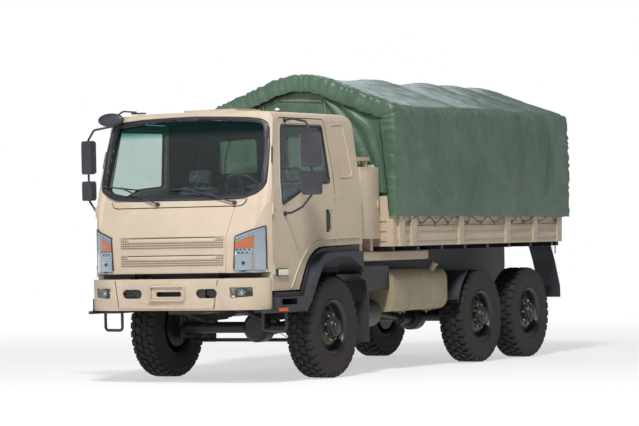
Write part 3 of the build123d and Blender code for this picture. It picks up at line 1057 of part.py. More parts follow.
roll_end_z = CANOPY_RIDGE_Z - roll_drop - roof_slope * ROLL_END_Y
roll_points = ((ROLL_X, -ROLL_END_Y, roll_end_z), (ROLL_X, 0, CANOPY_RIDGE_Z - roll_drop),
               (ROLL_X, ROLL_END_Y, roll_end_z))
save("curtain_roll", bent_tube(roll_points, ROLL_RADIUS, CANOPY_RIDGE_RADIUS - ROLL_RADIUS - CANOPY_WALL))
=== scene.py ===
# %% [markdown]
# # A six-wheel-drive military cargo truck
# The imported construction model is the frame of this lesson. It already has every panel, wheel and
# beam at its true place, so we never move it. We give its pieces real finishes, and around them we
# model what a builder adds last: tread, lamps, wipers, canvas, rope, bolts and trim.
# Everything is in metres. X points forward, Y to the truck's left and Z up.

# %% Load the frame
import bpy
import json
from math import atan2, cos, pi, radians, sin, sqrt, tan
from mathutils import Matrix, Vector, noise

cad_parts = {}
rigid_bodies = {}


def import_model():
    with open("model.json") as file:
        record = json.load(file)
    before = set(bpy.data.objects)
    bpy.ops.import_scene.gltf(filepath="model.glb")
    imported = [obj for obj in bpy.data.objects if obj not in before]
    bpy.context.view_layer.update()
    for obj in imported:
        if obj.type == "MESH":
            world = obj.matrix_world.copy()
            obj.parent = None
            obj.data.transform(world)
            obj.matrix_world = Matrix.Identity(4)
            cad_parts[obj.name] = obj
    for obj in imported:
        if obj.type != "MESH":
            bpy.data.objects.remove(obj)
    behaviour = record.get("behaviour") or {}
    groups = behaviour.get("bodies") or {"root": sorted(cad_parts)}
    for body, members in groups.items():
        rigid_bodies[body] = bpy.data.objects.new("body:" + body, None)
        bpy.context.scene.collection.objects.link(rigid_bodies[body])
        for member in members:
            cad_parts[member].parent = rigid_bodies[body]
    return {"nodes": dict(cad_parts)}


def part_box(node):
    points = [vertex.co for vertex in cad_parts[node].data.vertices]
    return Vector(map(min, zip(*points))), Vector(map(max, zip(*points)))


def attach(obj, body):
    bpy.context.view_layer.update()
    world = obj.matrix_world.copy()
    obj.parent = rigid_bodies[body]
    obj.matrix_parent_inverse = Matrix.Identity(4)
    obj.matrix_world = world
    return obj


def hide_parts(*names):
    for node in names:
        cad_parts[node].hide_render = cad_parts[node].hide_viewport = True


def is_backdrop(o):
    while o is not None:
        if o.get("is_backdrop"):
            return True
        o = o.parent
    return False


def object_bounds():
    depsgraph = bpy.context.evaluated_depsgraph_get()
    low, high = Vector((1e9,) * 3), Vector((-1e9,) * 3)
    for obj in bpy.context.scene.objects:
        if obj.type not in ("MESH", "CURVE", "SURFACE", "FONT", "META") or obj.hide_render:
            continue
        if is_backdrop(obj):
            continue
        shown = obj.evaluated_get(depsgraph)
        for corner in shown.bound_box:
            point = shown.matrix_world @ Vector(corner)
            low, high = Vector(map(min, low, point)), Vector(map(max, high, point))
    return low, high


bpy.ops.object.select_all(action="SELECT")
bpy.ops.object.delete()
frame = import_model()
cad_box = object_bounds()
nodes = frame["nodes"]
print("pieces in the frame:", len(nodes))

# %% [markdown]
# ## Colours and materials
# A colour picker shows sRGB numbers, while the renderer works in linear light. One function turns
# a hex colour into linear numbers, so every colour below can be read as a paint chip.
# Another small function adds a node with its settings and links, so that a material reads like a
# list of what is done to the surface.


# %% Colour and node helpers
def linear(code):
    """A hex colour such as C4B4A0 as linear red, green, blue and alpha."""
    values = [int(code[i:i + 2], 16) / 255 for i in (0, 2, 4)]
    return [v / 12.92 if v <= 0.04045 else ((v + 0.055) / 1.055) ** 2.4 for v in values] + [1.0]


def new_material(name, color, roughness, metallic=0.0):
    """A material with one shader; color is sRGB hex."""
    material = bpy.data.materials.new(name)
    material.use_nodes = True
    shader = material.node_tree.nodes["Principled BSDF"]
    shader.inputs["Base Color"].default_value = linear(color)
    shader.inputs["Roughness"].default_value = roughness
    shader.inputs["Metallic"].default_value = metallic
    return material


def add_node(material, kind, links=(), ramp=(), **settings):
    """Add a node; a setting is a property or, with spaces as underscores, a socket's value.
    A link is (socket, other node, its output), and a tone of a ramp is (position, hex)."""
    made = material.node_tree.nodes.new(kind)
    for key, value in settings.items():
        socket = made.inputs.get(key.replace("_", " "))
        if socket is not None:
            socket.default_value = value
        else:
            setattr(made, key, value)
    for number, (position, code) in enumerate(ramp):
        made.color_ramp.elements[number].position = position
        made.color_ramp.elements[number].color = linear(code)
    for socket, other, output in links:
        material.node_tree.links.new(other.outputs[output], made.inputs[socket])
    return made


def shader_of(material):
    """The material's one shader."""
    return material.node_tree.nodes["Principled BSDF"]


def link(material, node, output, socket):
    """Feed a node's output into the shader."""
    material.node_tree.links.new(node.outputs[output], shader_of(material).inputs[socket])


# A Mix node has its sockets once for each kind of value; these three are the ones for colours.
MIX_A, MIX_B, MIX_OUT = 6, 7, 2

# %% [markdown]
# Army paint is a flat alkyd enamel sprayed over primed steel. Up close it has a fine orange peel,
# and after some road miles its tone drifts a little from panel to panel and dust settles low down.
# We mix three tones by a broad cloud pattern and a height ramp. The orange peel is really about
# 2 mm wide; here it is drawn at 6 mm so that it still shows.


# %% Paint
def paint(name, base, worn, dust, roughness, dust_low, dust_high):
    """Satin paint: worn tone in clouds, dust fading out between two heights."""
    material = new_material(name, base, roughness)
    place = add_node(material, "ShaderNodeTexCoord")
    clouds = add_node(material, "ShaderNodeTexNoise", [("Vector", place, "Object")],
                      Scale=2.3, Detail=6.0, Roughness=0.62)
    tone = add_node(material, "ShaderNodeValToRGB", [("Fac", clouds, "Fac")], [(0.42, base), (0.72, worn)])
    split = add_node(material, "ShaderNodeSeparateXYZ", [("Vector", place, "Object")])
    low = add_node(material, "ShaderNodeMapRange", [("Value", split, "Z")],
                   **{"From Min": dust_low, "From Max": dust_high, "To Min": 0.75, "To Max": 0.0})
    specks = add_node(material, "ShaderNodeTexNoise", [("Vector", place, "Object")],
                      Scale=9.0, Detail=8.0, Roughness=0.7)
    share = add_node(material, "ShaderNodeMath", [(0, low, "Result"), (1, specks, "Fac")], operation="MULTIPLY")
    mixed = add_node(material, "ShaderNodeMix", [("Factor", share, "Value"), (MIX_A, tone, "Color")],
                     data_type="RGBA")
    mixed.inputs[MIX_B].default_value = linear(dust)
    link(material, mixed, MIX_OUT, "Base Color")
    peel = add_node(material, "ShaderNodeTexNoise", [("Vector", place, "Object")], Scale=160.0, Detail=2.0)
    bump = add_node(material, "ShaderNodeBump", [("Height", peel, "Fac")], Strength=0.12, Distance=0.0006)
    link(material, bump, "Normal", "Normal")
    return material


SAND = paint("sand_enamel", "C4B4A0", "BCAB93", "A3937A", 0.46, 0.7, 2.1)
TANK = paint("dusty_sand_enamel", "A89C82", "978B74", "8A7A5E", 0.55, 0.5, 1.6)
CHASSIS_BLACK = paint("chassis_black_enamel", "1E1F22", "26262A", "4A3F33", 0.42, 0.2, 1.2)
WHEEL_GREY = paint("wheel_grey_enamel", "26292F", "2E3238", "443C34", 0.38, 0.1, 0.9)
ENGINE_GREY = paint("cast_iron_grey", "3A3C3D", "2D2E30", "4A4035", 0.6, 0.3, 1.4)
print("paints:", SAND.name, TANK.name, CHASSIS_BLACK.name, WHEEL_GREY.name)

# %% [markdown]
# The wings, mirrors and steps are moulded in black ABS with a fine leather-like grain, so they
# scatter light where they are new. Grain cells are about 1 mm wide; ours are drawn at 4 mm.


# %% Moulded plastics and rubber
def grained(name, base, worn, roughness, cell, depth):
    """Moulded plastic or rubber with a fine cell grain; cell is its width in metres."""
    material = new_material(name, base, roughness)
    place = add_node(material, "ShaderNodeTexCoord")
    clouds = add_node(material, "ShaderNodeTexNoise", [("Vector", place, "Object")], Scale=5.0, Detail=5.0)
    tone = add_node(material, "ShaderNodeValToRGB", [("Fac", clouds, "Fac")], [(0.4, base), (0.75, worn)])
    link(material, tone, "Color", "Base Color")
    cells = add_node(material, "ShaderNodeTexVoronoi", [("Vector", place, "Object")], Scale=1 / cell)
    bump = add_node(material, "ShaderNodeBump", [("Height", cells, "Distance")], Strength=0.25, Distance=depth)
    link(material, bump, "Normal", "Normal")
    return material


BLACK_ABS = grained("black_abs_plastic", "2F2F36", "3C3C42", 0.5, 0.004, 0.0006)
SEAL_RUBBER = grained("black_seal_rubber", "25252B", "33333A", 0.45, 0.006, 0.0004)
INNER_TRIM = grained("grey_dashboard_plastic", "3B414A", "454C55", 0.62, 0.004, 0.0006)
print("plastics:", BLACK_ABS.name, SEAL_RUBBER.name, INNER_TRIM.name)

# %% [markdown]
# A road tyre's tread is scrubbed dark, while its walls keep brown road dust. The tyre mesh carries
# an attribute called dust, 1 on the walls and 0 on the tread, and the material reads it.

# %% Tyre rubber
TREAD_TONE, DUST_TONE = "1E1C1F", "3C3530"
TYRE = new_material("tyre_rubber", TREAD_TONE, 0.78)
place = add_node(TYRE, "ShaderNodeTexCoord")
dust = add_node(TYRE, "ShaderNodeAttribute", attribute_name="dust")
grit = add_node(TYRE, "ShaderNodeTexNoise", [("Vector", place, "Object")], Scale=14.0, Detail=8.0, Roughness=0.7)
share = add_node(TYRE, "ShaderNodeMath", [(0, dust, "Fac"), (1, grit, "Fac")], operation="MULTIPLY")
mixed = add_node(TYRE, "ShaderNodeMix", [("Factor", share, "Value")], data_type="RGBA")
mixed.inputs[MIX_A].default_value = linear(TREAD_TONE)
mixed.inputs[MIX_B].default_value = linear(DUST_TONE)
link(TYRE, mixed, MIX_OUT, "Base Color")
fine = add_node(TYRE, "ShaderNodeTexNoise", [("Vector", place, "Object")], Scale=220.0, Detail=3.0)
bump = add_node(TYRE, "ShaderNodeBump", [("Height", fine, "Fac")], Strength=0.35, Distance=0.001)
link(TYRE, bump, "Normal", "Normal")
print("tyre rubber reads the attribute:", dust.attribute_name)

# %% [markdown]
# The canvas is polyester scrim coated with green PVC. The coating shines on top, where it mirrors
# the sky, and looks duller where it is scuffed along folds. Threads lie 1 mm apart; a weave that
# fine can't show from here, so it is drawn at 5 mm and kept faint.

# %% Coated canvas
def coated_canvas(name, deep, faded, roughness):
    """Green PVC-coated cloth with scuffed, paler patches and a faint weave."""
    material = new_material(name, deep, roughness)
    place = add_node(material, "ShaderNodeTexCoord")
    broad = add_node(material, "ShaderNodeTexNoise", [("Vector", place, "Object")],
                     Scale=1.7, Detail=9.0, Roughness=0.66, Distortion=0.6)
    tone = add_node(material, "ShaderNodeValToRGB", [("Fac", broad, "Fac")], [(0.38, deep), (0.74, faded)])
    link(material, tone, "Color", "Base Color")
    scuff = add_node(material, "ShaderNodeTexNoise", [("Vector", place, "Object")],
                     Scale=6.0, Detail=8.0, Roughness=0.7)
    gloss = add_node(material, "ShaderNodeMapRange", [("Value", scuff, "Fac")],
                     **{"From Min": 0.35, "From Max": 0.7, "To Min": roughness - 0.1, "To Max": roughness + 0.16})
    link(material, gloss, "Result", "Roughness")
    weave = add_node(material, "ShaderNodeTexWave", [("Vector", place, "Object")], Scale=95.0, Distortion=1.5)
    crease = add_node(material, "ShaderNodeTexNoise", [("Vector", place, "Object")],
                      Scale=11.0, Detail=5.0, Distortion=1.2)
    height = add_node(material, "ShaderNodeMix", [("A", weave, "Fac"), ("B", crease, "Fac")], Factor=0.9)
    bump = add_node(material, "ShaderNodeBump", [("Height", height, "Result")], Strength=0.5, Distance=0.012)
    link(material, bump, "Normal", "Normal")
    shader_of(material).inputs["Sheen Weight"].default_value = 0.12
    return material


CANVAS = coated_canvas("green_pvc_canvas", "3E5844", "56735D", 0.38)
CANVAS_INNER = coated_canvas("pale_green_pvc_lining", "7F9A7C", "93AB8C", 0.5)
print("canvas:", CANVAS.name, CANVAS_INNER.name)

# %% [markdown]
# Windscreen glass is nearly clear, with a green sun band printed along its top edge. The lamps
# are clear polycarbonate over bright aluminised reflectors.

# %% Glass, lenses and bright metal
def clear(name, tint, roughness=0.0, ior=1.45):
    """A see-through material with a tint."""
    material = new_material(name, tint, roughness)
    shader_of(material).inputs["Transmission Weight"].default_value = 1.0
    shader_of(material).inputs["IOR"].default_value = ior
    return material


SIDE_GLASS = clear("side_window_glass", "D5E2DD")
SCREEN_TONE, SUN_BAND_TONE = "DDE9E6", "2E9088"
SUN_BAND_LOW, SUN_BAND_HIGH = 2.585, 2.66
SCREEN_GLASS = clear("windscreen_glass", SCREEN_TONE)
place = add_node(SCREEN_GLASS, "ShaderNodeTexCoord")
split = add_node(SCREEN_GLASS, "ShaderNodeSeparateXYZ", [("Vector", place, "Object")])
band = add_node(SCREEN_GLASS, "ShaderNodeMapRange", [("Value", split, "Z")],
                **{"From Min": SUN_BAND_LOW, "From Max": SUN_BAND_HIGH})
tinted = add_node(SCREEN_GLASS, "ShaderNodeMix", [("Factor", band, "Result")], data_type="RGBA")
tinted.inputs[MIX_A].default_value = linear(SCREEN_TONE)
tinted.inputs[MIX_B].default_value = linear(SUN_BAND_TONE)
link(SCREEN_GLASS, tinted, MIX_OUT, "Base Color")
LENS = clear("clear_polycarbonate", "F4F7F8", 0.03, 1.58)
MARKER_LENS = new_material("opal_marker_lens", "DCD6C8", 0.2)
ORANGE_REFLECTOR = new_material("orange_reflector", "D4531E", 0.3)
CHROME = new_material("aluminised_reflector", "A9B3BD", 0.16, 1.0)
STEEL = new_material("zinc_plated_steel", "A9A7A0", 0.38, 1.0)
BRASS = new_material("brass_nut", "B79A5E", 0.4, 1.0)
MIRROR_GLASS = new_material("silvered_mirror", "DDE2E4", 0.03, 1.0)
print("clear and bright:", SIDE_GLASS.name, SCREEN_GLASS.name, LENS.name, CHROME.name)

# %% [markdown]
# The seats still wear their clear delivery covers, so they look blue-grey and crinkled.

# %% Seat covers
COVER = new_material("seat_with_film_cover", "59656F", 0.3)
place = add_node(COVER, "ShaderNodeTexCoord")
crinkle = add_node(COVER, "ShaderNodeTexNoise", [("Vector", place, "Object")],
                   Scale=16.0, Detail=7.0, Distortion=1.8)
tone = add_node(COVER, "ShaderNodeValToRGB", [("Fac", crinkle, "Fac")], [(0.4, "46525D"), (0.68, "8795A0")])
link(COVER, tone, "Color", "Base Color")
bump = add_node(COVER, "ShaderNodeBump", [("Height", crinkle, "Fac")], Strength=0.8, Distance=0.02)
link(COVER, bump, "Normal", "Normal")
print("seat cover:", COVER.name)

# %% [markdown]
# ## Dress the construction pieces
# Every piece of the frame gets a finish here. Those that a more detailed piece stands for later
# are hidden then.

# %% Finish of each piece in the frame
WHEEL_PLACES = [f"{row}_{side}" for row in ("front", "middle", "rear") for side in ("left", "right")]
FINISHES = {
    SAND: ("cab_shell", "door_left", "door_right", "front_panel", "roof_hatch", "bumper", "cabinet",
           "headboard", "bed_sides", "tailgate", "stowage_boxes"),
    TANK: ("fuel_tank",),
    CHASSIS_BLACK: ("frame_rails", "prop_shafts", "front_axle", "rear_axles", "leaf_springs", "tow_fittings",
                    "battery_box", "air_tank", "silencer", "knuckle_left", "knuckle_right", "tie_rod",
                    "bed_floor", "bows", "gearbox"),
    ENGINE_GREY: ("engine_block",),
    BLACK_ABS: ("wings", "mudguards", "mirror_left", "mirror_right", "tube_steps"),
    SEAL_RUBBER: ("windshield_seal",),
    INNER_TRIM: ("dashboard",),
    COVER: ("seats",),
    CANVAS: ("canopy", "front_curtain", "curtain_roll"),
    SCREEN_GLASS: ("cab_glass",),
    SIDE_GLASS: ("door_glass_left", "door_glass_right"),
    LENS: ("cab_lamps", "chassis_lamps"),
    TYRE: [f"tyre_{place}" for place in WHEEL_PLACES],
    WHEEL_GREY: [f"wheel_{place}" for place in WHEEL_PLACES],
}
for material, names in FINISHES.items():
    for name in names:
        nodes[name].data.materials.clear()
        nodes[name].data.materials.append(material)
bare = [name for name, node in nodes.items() if not node.data.materials]
print("pieces without a finish:", bare)

# %% [markdown]
# ## Modelling helpers
# Each new piece is made as by hand: a primitive at its size and place, shaped in edit mode, then
# finished with modifiers. The helpers below hold the few moves that come back all the time: a
# block with softened edges, an outline pushed to a plate, a profile spun to a round part, and a
# tube along a line.


# %% Selection, modifiers and finish
def clear_selection():
    """Leave edit mode and select nothing."""
    if bpy.context.object is not None and bpy.context.object.mode != "OBJECT":
        bpy.ops.object.mode_set(mode="OBJECT")
    bpy.ops.object.select_all(action="DESELECT")


def pick(*pieces):
    """Select just these pieces; the first is the active one."""
    clear_selection()
    for piece in pieces:
        piece.select_set(True)
    bpy.context.view_layer.objects.active = pieces[0]
    return pieces[0]


def settle(piece):
    """Put a piece's place, turn and scale into its mesh."""
    pick(piece)
    bpy.ops.object.transform_apply(location=True, rotation=True, scale=True)
    return piece


def modify(piece, kind, **settings):
    """Add a modifier with its settings and apply it."""
    pick(piece)
    modifier = piece.modifiers.new("finish", kind)
    for key, value in settings.items():
        setattr(modifier, key, value)
    bpy.ops.object.modifier_apply(modifier=modifier.name)
    return piece


def soften(piece, width, segments=2, angle=30):
    """Round the edges sharper than the angle."""
    if width > 0:
        modify(piece, "BEVEL", width=width, segments=segments, limit_method="ANGLE", angle_limit=radians(angle))
    return piece


def join(name, pieces):
    """Several meshes as one piece."""
    pick(*pieces)
    if len(pieces) > 1:
        bpy.ops.object.join()
    whole = bpy.context.object
    whole.name = name
    return whole


def edit_all(piece):
    """Enter edit mode with the whole piece selected."""
    pick(piece)
    bpy.ops.object.mode_set(mode="EDIT")
    bpy.ops.mesh.select_all(action="SELECT")


def mend_normals(piece):
    """Merge doubled points and turn every face outwards."""
    edit_all(piece)
    bpy.ops.mesh.remove_doubles(threshold=0.00002)
    bpy.ops.mesh.normals_make_consistent(inside=False)
    bpy.ops.object.mode_set(mode="OBJECT")
    return piece


def dress(piece, material, body, smooth=32):
    """Give a piece its material, smooth shading up to an angle, and the body that it rides on."""
    pick(piece)
    if not piece.data.materials:
        piece.data.materials.append(material)
    if smooth:
        bpy.ops.object.shade_smooth_by_angle(angle=radians(smooth))
    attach(piece, body)
    return piece


def copy_of(piece, name, matrix=None):
    """A copy with a mesh of its own, its points moved by the matrix."""
    made = piece.copy()
    made.data = piece.data.copy()
    made.name = name
    bpy.context.scene.collection.objects.link(made)
    if matrix is not None:
        made.data.transform(matrix)
        if matrix.determinant() < 0:
            made.data.flip_normals()
    return made


MIRROR_Y = Matrix.Scale(-1, 4, (0, 1, 0))


def mirrored(piece, right_body):
    """Call a piece the left one and put its mirror image on the right."""
    name = piece.name
    piece.name = name + "_left"
    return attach(copy_of(piece, name + "_right", MIRROR_Y), right_body)


def both_sides(piece, material, left_body, right_body, smooth=40, slot=None):
    """Finish a piece of the left side and its mirror image on the right."""
    return mirrored(dress(piece, material, left_body, smooth), right_body)


print("helpers for selection and finish are ready")


# %% Block, outline, lathe and tube
def add_block(name, low, high, bevel=0.0, segments=2):
    """A box between two corners with softened edges."""
    low, high = Vector(low), Vector(high)
    clear_selection()
    bpy.ops.mesh.primitive_cube_add(size=1, location=(low + high) / 2)
    piece = bpy.context.object
    piece.name = name
    piece.scale = high - low
    settle(piece)
    return soften(piece, bevel, segments)


def add_outline(name, points, push, bevel=0.0, segments=2):
    """A closed outline, given point by point, pushed into a plate."""
    clear_selection()
    bpy.ops.mesh.primitive_circle_add(vertices=len(points), fill_type="NGON")
    piece = bpy.context.object
    piece.name = name
    for vertex, point in zip(piece.data.vertices, points):
        vertex.co = point
    edit_all(piece)
    bpy.ops.mesh.extrude_region_move(TRANSFORM_OT_translate={"value": push})
    bpy.ops.mesh.select_all(action="SELECT")
    bpy.ops.mesh.normals_make_consistent(inside=False)
    bpy.ops.object.mode_set(mode="OBJECT")
    return soften(piece, bevel, segments)


AXES = {"X": ((1, 0, 0), lambda r, a: (a, 0, r)), "Y": ((0, 1, 0), lambda r, a: (0, a, r)),
        "Z": ((0, 0, 1), lambda r, a: (r, 0, a))}


def add_lathe(name, profile, steps, axis="Y", centre=(0, 0, 0), closed=True):
    """A round part: rows of radius and distance along the axis, spun once round it."""
    direction, point_of = AXES[axis]
    clear_selection()
    bpy.ops.mesh.primitive_circle_add(vertices=len(profile), fill_type="NOTHING")
    piece = bpy.context.object
    piece.name = name
    for vertex, (radius, along) in zip(piece.data.vertices, profile):
        vertex.co = point_of(radius, along)
    edit_all(piece)
    if not closed:
        bpy.ops.mesh.select_mode(type="EDGE")
        bpy.ops.mesh.select_all(action="DESELECT")
        bpy.ops.object.mode_set(mode="OBJECT")
        last = {0, len(profile) - 1}
        for edge in piece.data.edges:
            edge.select = set(edge.vertices) == last
        bpy.ops.object.mode_set(mode="EDIT")
        bpy.ops.mesh.delete(type="EDGE")
        bpy.ops.mesh.select_all(action="SELECT")
    bpy.ops.mesh.spin(steps=steps, angle=2 * pi, center=(0, 0, 0), axis=direction)
    bpy.ops.mesh.select_mode(type="VERT")
    bpy.ops.object.mode_set(mode="OBJECT")
    mend_normals(piece)
    piece.location = centre
    return settle(piece)


def add_round(name, start, end, radius, sides=16, bevel=0.0):
    """A round bar between two points."""
    start, end = Vector(start), Vector(end)
    clear_selection()
    bpy.ops.mesh.primitive_cylinder_add(vertices=sides, radius=radius, depth=(end - start).length,
                                        location=(start + end) / 2)
    piece = bpy.context.object
    piece.name = name
    piece.rotation_euler = (end - start).to_track_quat("Z", "Y").to_euler()
    settle(piece)
    return soften(piece, bevel, 2, 50)


def add_tube(name, points, radius, bend=0.04, sides=8, tilt_steps=6):
    """A tube along straight runs; each corner is rounded within the bend length."""
    line = [Vector(points[0])]
    for corners in zip(points, points[1:], points[2:]):
        before, corner, after = (Vector(point) for point in corners)
        to_start, to_end = before - corner, after - corner
        line.append(corner + to_start.normalized() * min(bend, to_start.length * 0.48))
        line.append(corner)
        line.append(corner + to_end.normalized() * min(bend, to_end.length * 0.48))
    line.append(Vector(points[-1]))
    clear_selection()
    bpy.ops.curve.primitive_nurbs_path_add()
    piece = bpy.context.object
    piece.name = name
    curve = piece.data
    curve.splines.clear()
    spline = curve.splines.new("NURBS")
    spline.points.add(len(line) - 1)
    for point, place in zip(spline.points, line):
        point.co = (*place, 1)
    spline.order_u = 3
    spline.use_endpoint_u = True
    curve.resolution_u = tilt_steps
    curve.bevel_depth = radius
    curve.bevel_resolution = max(1, sides // 4)
    curve.use_fill_caps = True
    piece.location = (0, 0, 0)
    pick(piece)
    bpy.ops.object.convert(target="MESH")
    return settle(bpy.context.object)


def add_ball(name, centre, size, segments=16):
    """An ellipsoid with its three half sizes."""
    clear_selection()
    bpy.ops.mesh.primitive_uv_sphere_add(segments=segments, ring_count=segments // 2, radius=1, location=centre)
    piece = bpy.context.object
    piece.name = name
    piece.scale = size
    return settle(piece)


def bend_grid(name, across, up, place_of):
    """A grid whose points are moved to a surface given by two shares."""
    clear_selection()
    bpy.ops.mesh.primitive_grid_add(x_subdivisions=across, y_subdivisions=up, size=1)
    piece = bpy.context.object
    piece.name = name
    for vertex in piece.data.vertices:
        vertex.co = place_of(vertex.co.x + 0.5, vertex.co.y + 0.5)
    piece.data.update()
    return piece


print("helpers for shapes are ready")


# %% [markdown]
# Many seams and seals follow closed outlines with rounded corners. They are given by their corners
# and radii, and pushed outwards or inwards by a distance where a seal or a rolled edge follows them.


# %% Rounded outlines
def corner_arc(before, corner, after, radius, steps):
    """Points of the arc that rounds a corner."""
    before, corner, after = Vector(before), Vector(corner), Vector(after)
    to_before, to_after = (before - corner).normalized(), (after - corner).normalized()
    half_angle = to_before.angle(to_after) / 2
    centre = corner + (to_before + to_after).normalized() * radius / sin(half_angle)
    start = corner + to_before * radius / tan(half_angle) - centre
    end = corner + to_after * radius / tan(half_angle) - centre
    return [centre + start.slerp(end, i / steps) * radius for i in range(steps + 1)]


def rounded_loop(corners, steps=5):
    """A closed loop of places from rows of two coordinates and a corner radius."""
    loop = []
    for number, (a, b, radius) in enumerate(corners):
        before, after = corners[number - 1][:2], corners[(number + 1) % len(corners)][:2]
        loop += corner_arc(before, (a, b), after, radius, steps) if radius else [Vector((a, b))]
    return loop


def pushed(loop, distance):
    """A closed loop moved outwards by a distance, or inwards by a negative one."""
    turn = sum(a.x * b.y - b.x * a.y for a, b in zip(loop, loop[1:] + loop[:1]))
    sign = 1 if turn > 0 else -1
    moved = []
    for number, here in enumerate(loop):
        run = (loop[(number + 1) % len(loop)] - loop[number - 1]).normalized()
        moved.append(here + Vector((run.y, -run.x)) * distance * sign)
    return moved


def closed_line(points, longest=0.08):
    """A loop as a line that ends where it starts, long runs cut up."""
    line = []
    for one, other in zip(points, points[1:] + points[:1]):
        count = max(1, round((other - one).length / longest))
        line += [one.lerp(other, i / count) for i in range(count)]
    return line + [line[0]]


def clamp(value):
    """A share held between 0 and 1."""
    return min(1, max(0, value))


def run_along(points, steps):
    """Points of a line of two coordinates, each run cut into steps."""
    line = []
    for (a0, b0), (a1, b1) in zip(points, points[1:]):
        line += [(a0 + (a1 - a0) * i / steps, b0 + (b1 - b0) * i / steps) for i in range(steps)]
    return line + [points[-1]]


print("outline helpers are ready")

# %% [markdown]
# ## Tyres
# The real tyre is a wide cross-country tyre with chunky blocks in four rows, the outer rows
# running down over the shoulder. We spin the carcass from its section, model one block of each
# row, and let the spin tool repeat it round the tyre. One finished tyre is then copied six times.

# %% Carcass
TREAD_RADIUS = 0.5412
BLOCKS = 34
BLOCK_FOOT, BLOCK_EDGE = 0.518, 0.003
half_section = [(0.270, 0.112), (0.283, 0.128), (0.300, 0.137), (0.306, 0.1385), (0.312, 0.1455), (0.352, 0.153),
                (0.405, 0.1595), (0.450, 0.1575), (0.456, 0.1595), (0.463, 0.1565), (0.490, 0.149), (0.512, 0.136),
                (0.521, 0.118), (0.5225, 0.06)]
section = half_section + [(radius, -along) for radius, along in reversed(half_section)]
carcass = add_lathe("carcass", section, 68)


# %% Tread blocks
def ring_of(block):
    """Repeat a block round the wheel with the spin tool's copies."""
    edit_all(block)
    bpy.ops.mesh.spin(steps=BLOCKS, angle=2 * pi, dupli=True, center=(0, 0, 0), axis=(0, 1, 0))
    bpy.ops.mesh.select_all(action="SELECT")
    bpy.ops.mesh.remove_doubles(threshold=0.0001)
    bpy.ops.object.mode_set(mode="OBJECT")
    return block


pitch = 2 * pi * TREAD_RADIUS / BLOCKS
rings = []
for side in (-1, 1):
    shift = side * pitch / 4
    top = [(-0.36, 0.006), (0.10, 0.006), (0.36, 0.030), (0.36, 0.072), (-0.10, 0.072), (-0.36, 0.050)]
    inner = add_outline("inner_block", [(x * pitch + shift, side * y, BLOCK_FOOT) for x, y in top],
                        (0, 0, 0.0225), BLOCK_EDGE, 1)
    shoulder = [(0.516, 0.080), (0.5405, 0.080), (0.5395, 0.126), (0.527, 0.1435), (0.500, 0.1535), (0.484, 0.155),
                (0.484, 0.145), (0.505, 0.120)]
    wide = 0.33 * pitch
    outer = add_outline("outer_block", [(-wide - shift, side * y, z) for z, y in shoulder], (2 * wide, 0, 0),
                        BLOCK_EDGE, 1)
    rings += [ring_of(inner), ring_of(outer)]
tyre = join("tyre", [carcass] + rings)
mend_normals(tyre)
dust_values = []
for vertex in tyre.data.vertices:
    radius = sqrt(vertex.co.x ** 2 + vertex.co.z ** 2)
    wall = clamp((abs(vertex.co.y) - 0.120) / 0.015) * clamp((0.538 - radius) / 0.02)
    dust_values.append(0.15 + 0.85 * wall)
layer = tyre.data.attributes.new("dust", "FLOAT", "POINT")
layer.data.foreach_set("value", dust_values)
print("tyre faces:", len(tyre.data.polygons))

# %% [markdown]
# ## Wheels
# A pressed steel disc wheel: the rim's flange and well, a dished disc with hand holes, eight brass
# wheel nuts, and the planetary drive hub that stands out in the middle with its ring of bolts.

# %% Rim and disc
rim_profile = [(0.2965, 0.1420), (0.2965, 0.1340), (0.290, 0.1290), (0.2800, 0.1250), (0.2700, 0.1150),
               (0.2640, 0.05), (0.2640, -0.105), (0.2760, -0.124), (0.2920, -0.128), (0.2965, -0.134),
               (0.290, -0.1385), (0.2700, -0.128), (0.2560, -0.108), (0.2520, 0.010), (0.2420, 0.018),
               (0.2200, 0.034), (0.1950, 0.066), (0.1700, 0.084), (0.1000, 0.084), (0.1000, 0.096),
               (0.1680, 0.096), (0.1800, 0.0925), (0.2050, 0.0740), (0.2280, 0.0430), (0.2420, 0.0330),
               (0.2500, 0.0380), (0.2540, 0.0600), (0.2570, 0.1020), (0.2640, 0.1200), (0.2760, 0.1340),
               (0.2860, 0.1440), (0.2920, 0.1460)]
rim = add_lathe("rim", rim_profile, 64)
hole_makers = []
HAND_HOLES, HOLE_CIRCLE, HAND_HOLE_RADIUS = 8, 0.207, 0.021
for number in range(HAND_HOLES):
    angle = 2 * pi * (number + 0.5) / HAND_HOLES
    x, z = sin(angle) * HOLE_CIRCLE, cos(angle) * HOLE_CIRCLE
    hole_makers.append(add_round("hand_hole", (x, -0.02, z), (x, 0.2, z), HAND_HOLE_RADIUS, 16))
cutter = join("hand_holes", hole_makers)
modify(rim, "BOOLEAN", object=cutter, operation="DIFFERENCE", solver="EXACT")
bpy.data.objects.remove(cutter)

# %% Hub, drum and nuts
hub_profile = [(0.0, 0.206), (0.030, 0.206), (0.036, 0.202), (0.058, 0.200), (0.066, 0.196), (0.070, 0.188),
               (0.070, 0.178), (0.088, 0.176), (0.096, 0.172), (0.100, 0.164), (0.100, 0.128), (0.106, 0.122),
               (0.106, 0.100), (0.090, 0.06), (0.0, 0.06)]
hub = add_lathe("hub", hub_profile, 40, closed=False)
drum = add_lathe("drum", [(0.0, 0.05), (0.196, 0.05), (0.205, 0.042), (0.205, 0.0), (0.200, -0.004), (0.205, -0.008),
                          (0.205, -0.108), (0.06, -0.108), (0.06, -0.05), (0.0, -0.05)], 40, closed=False)


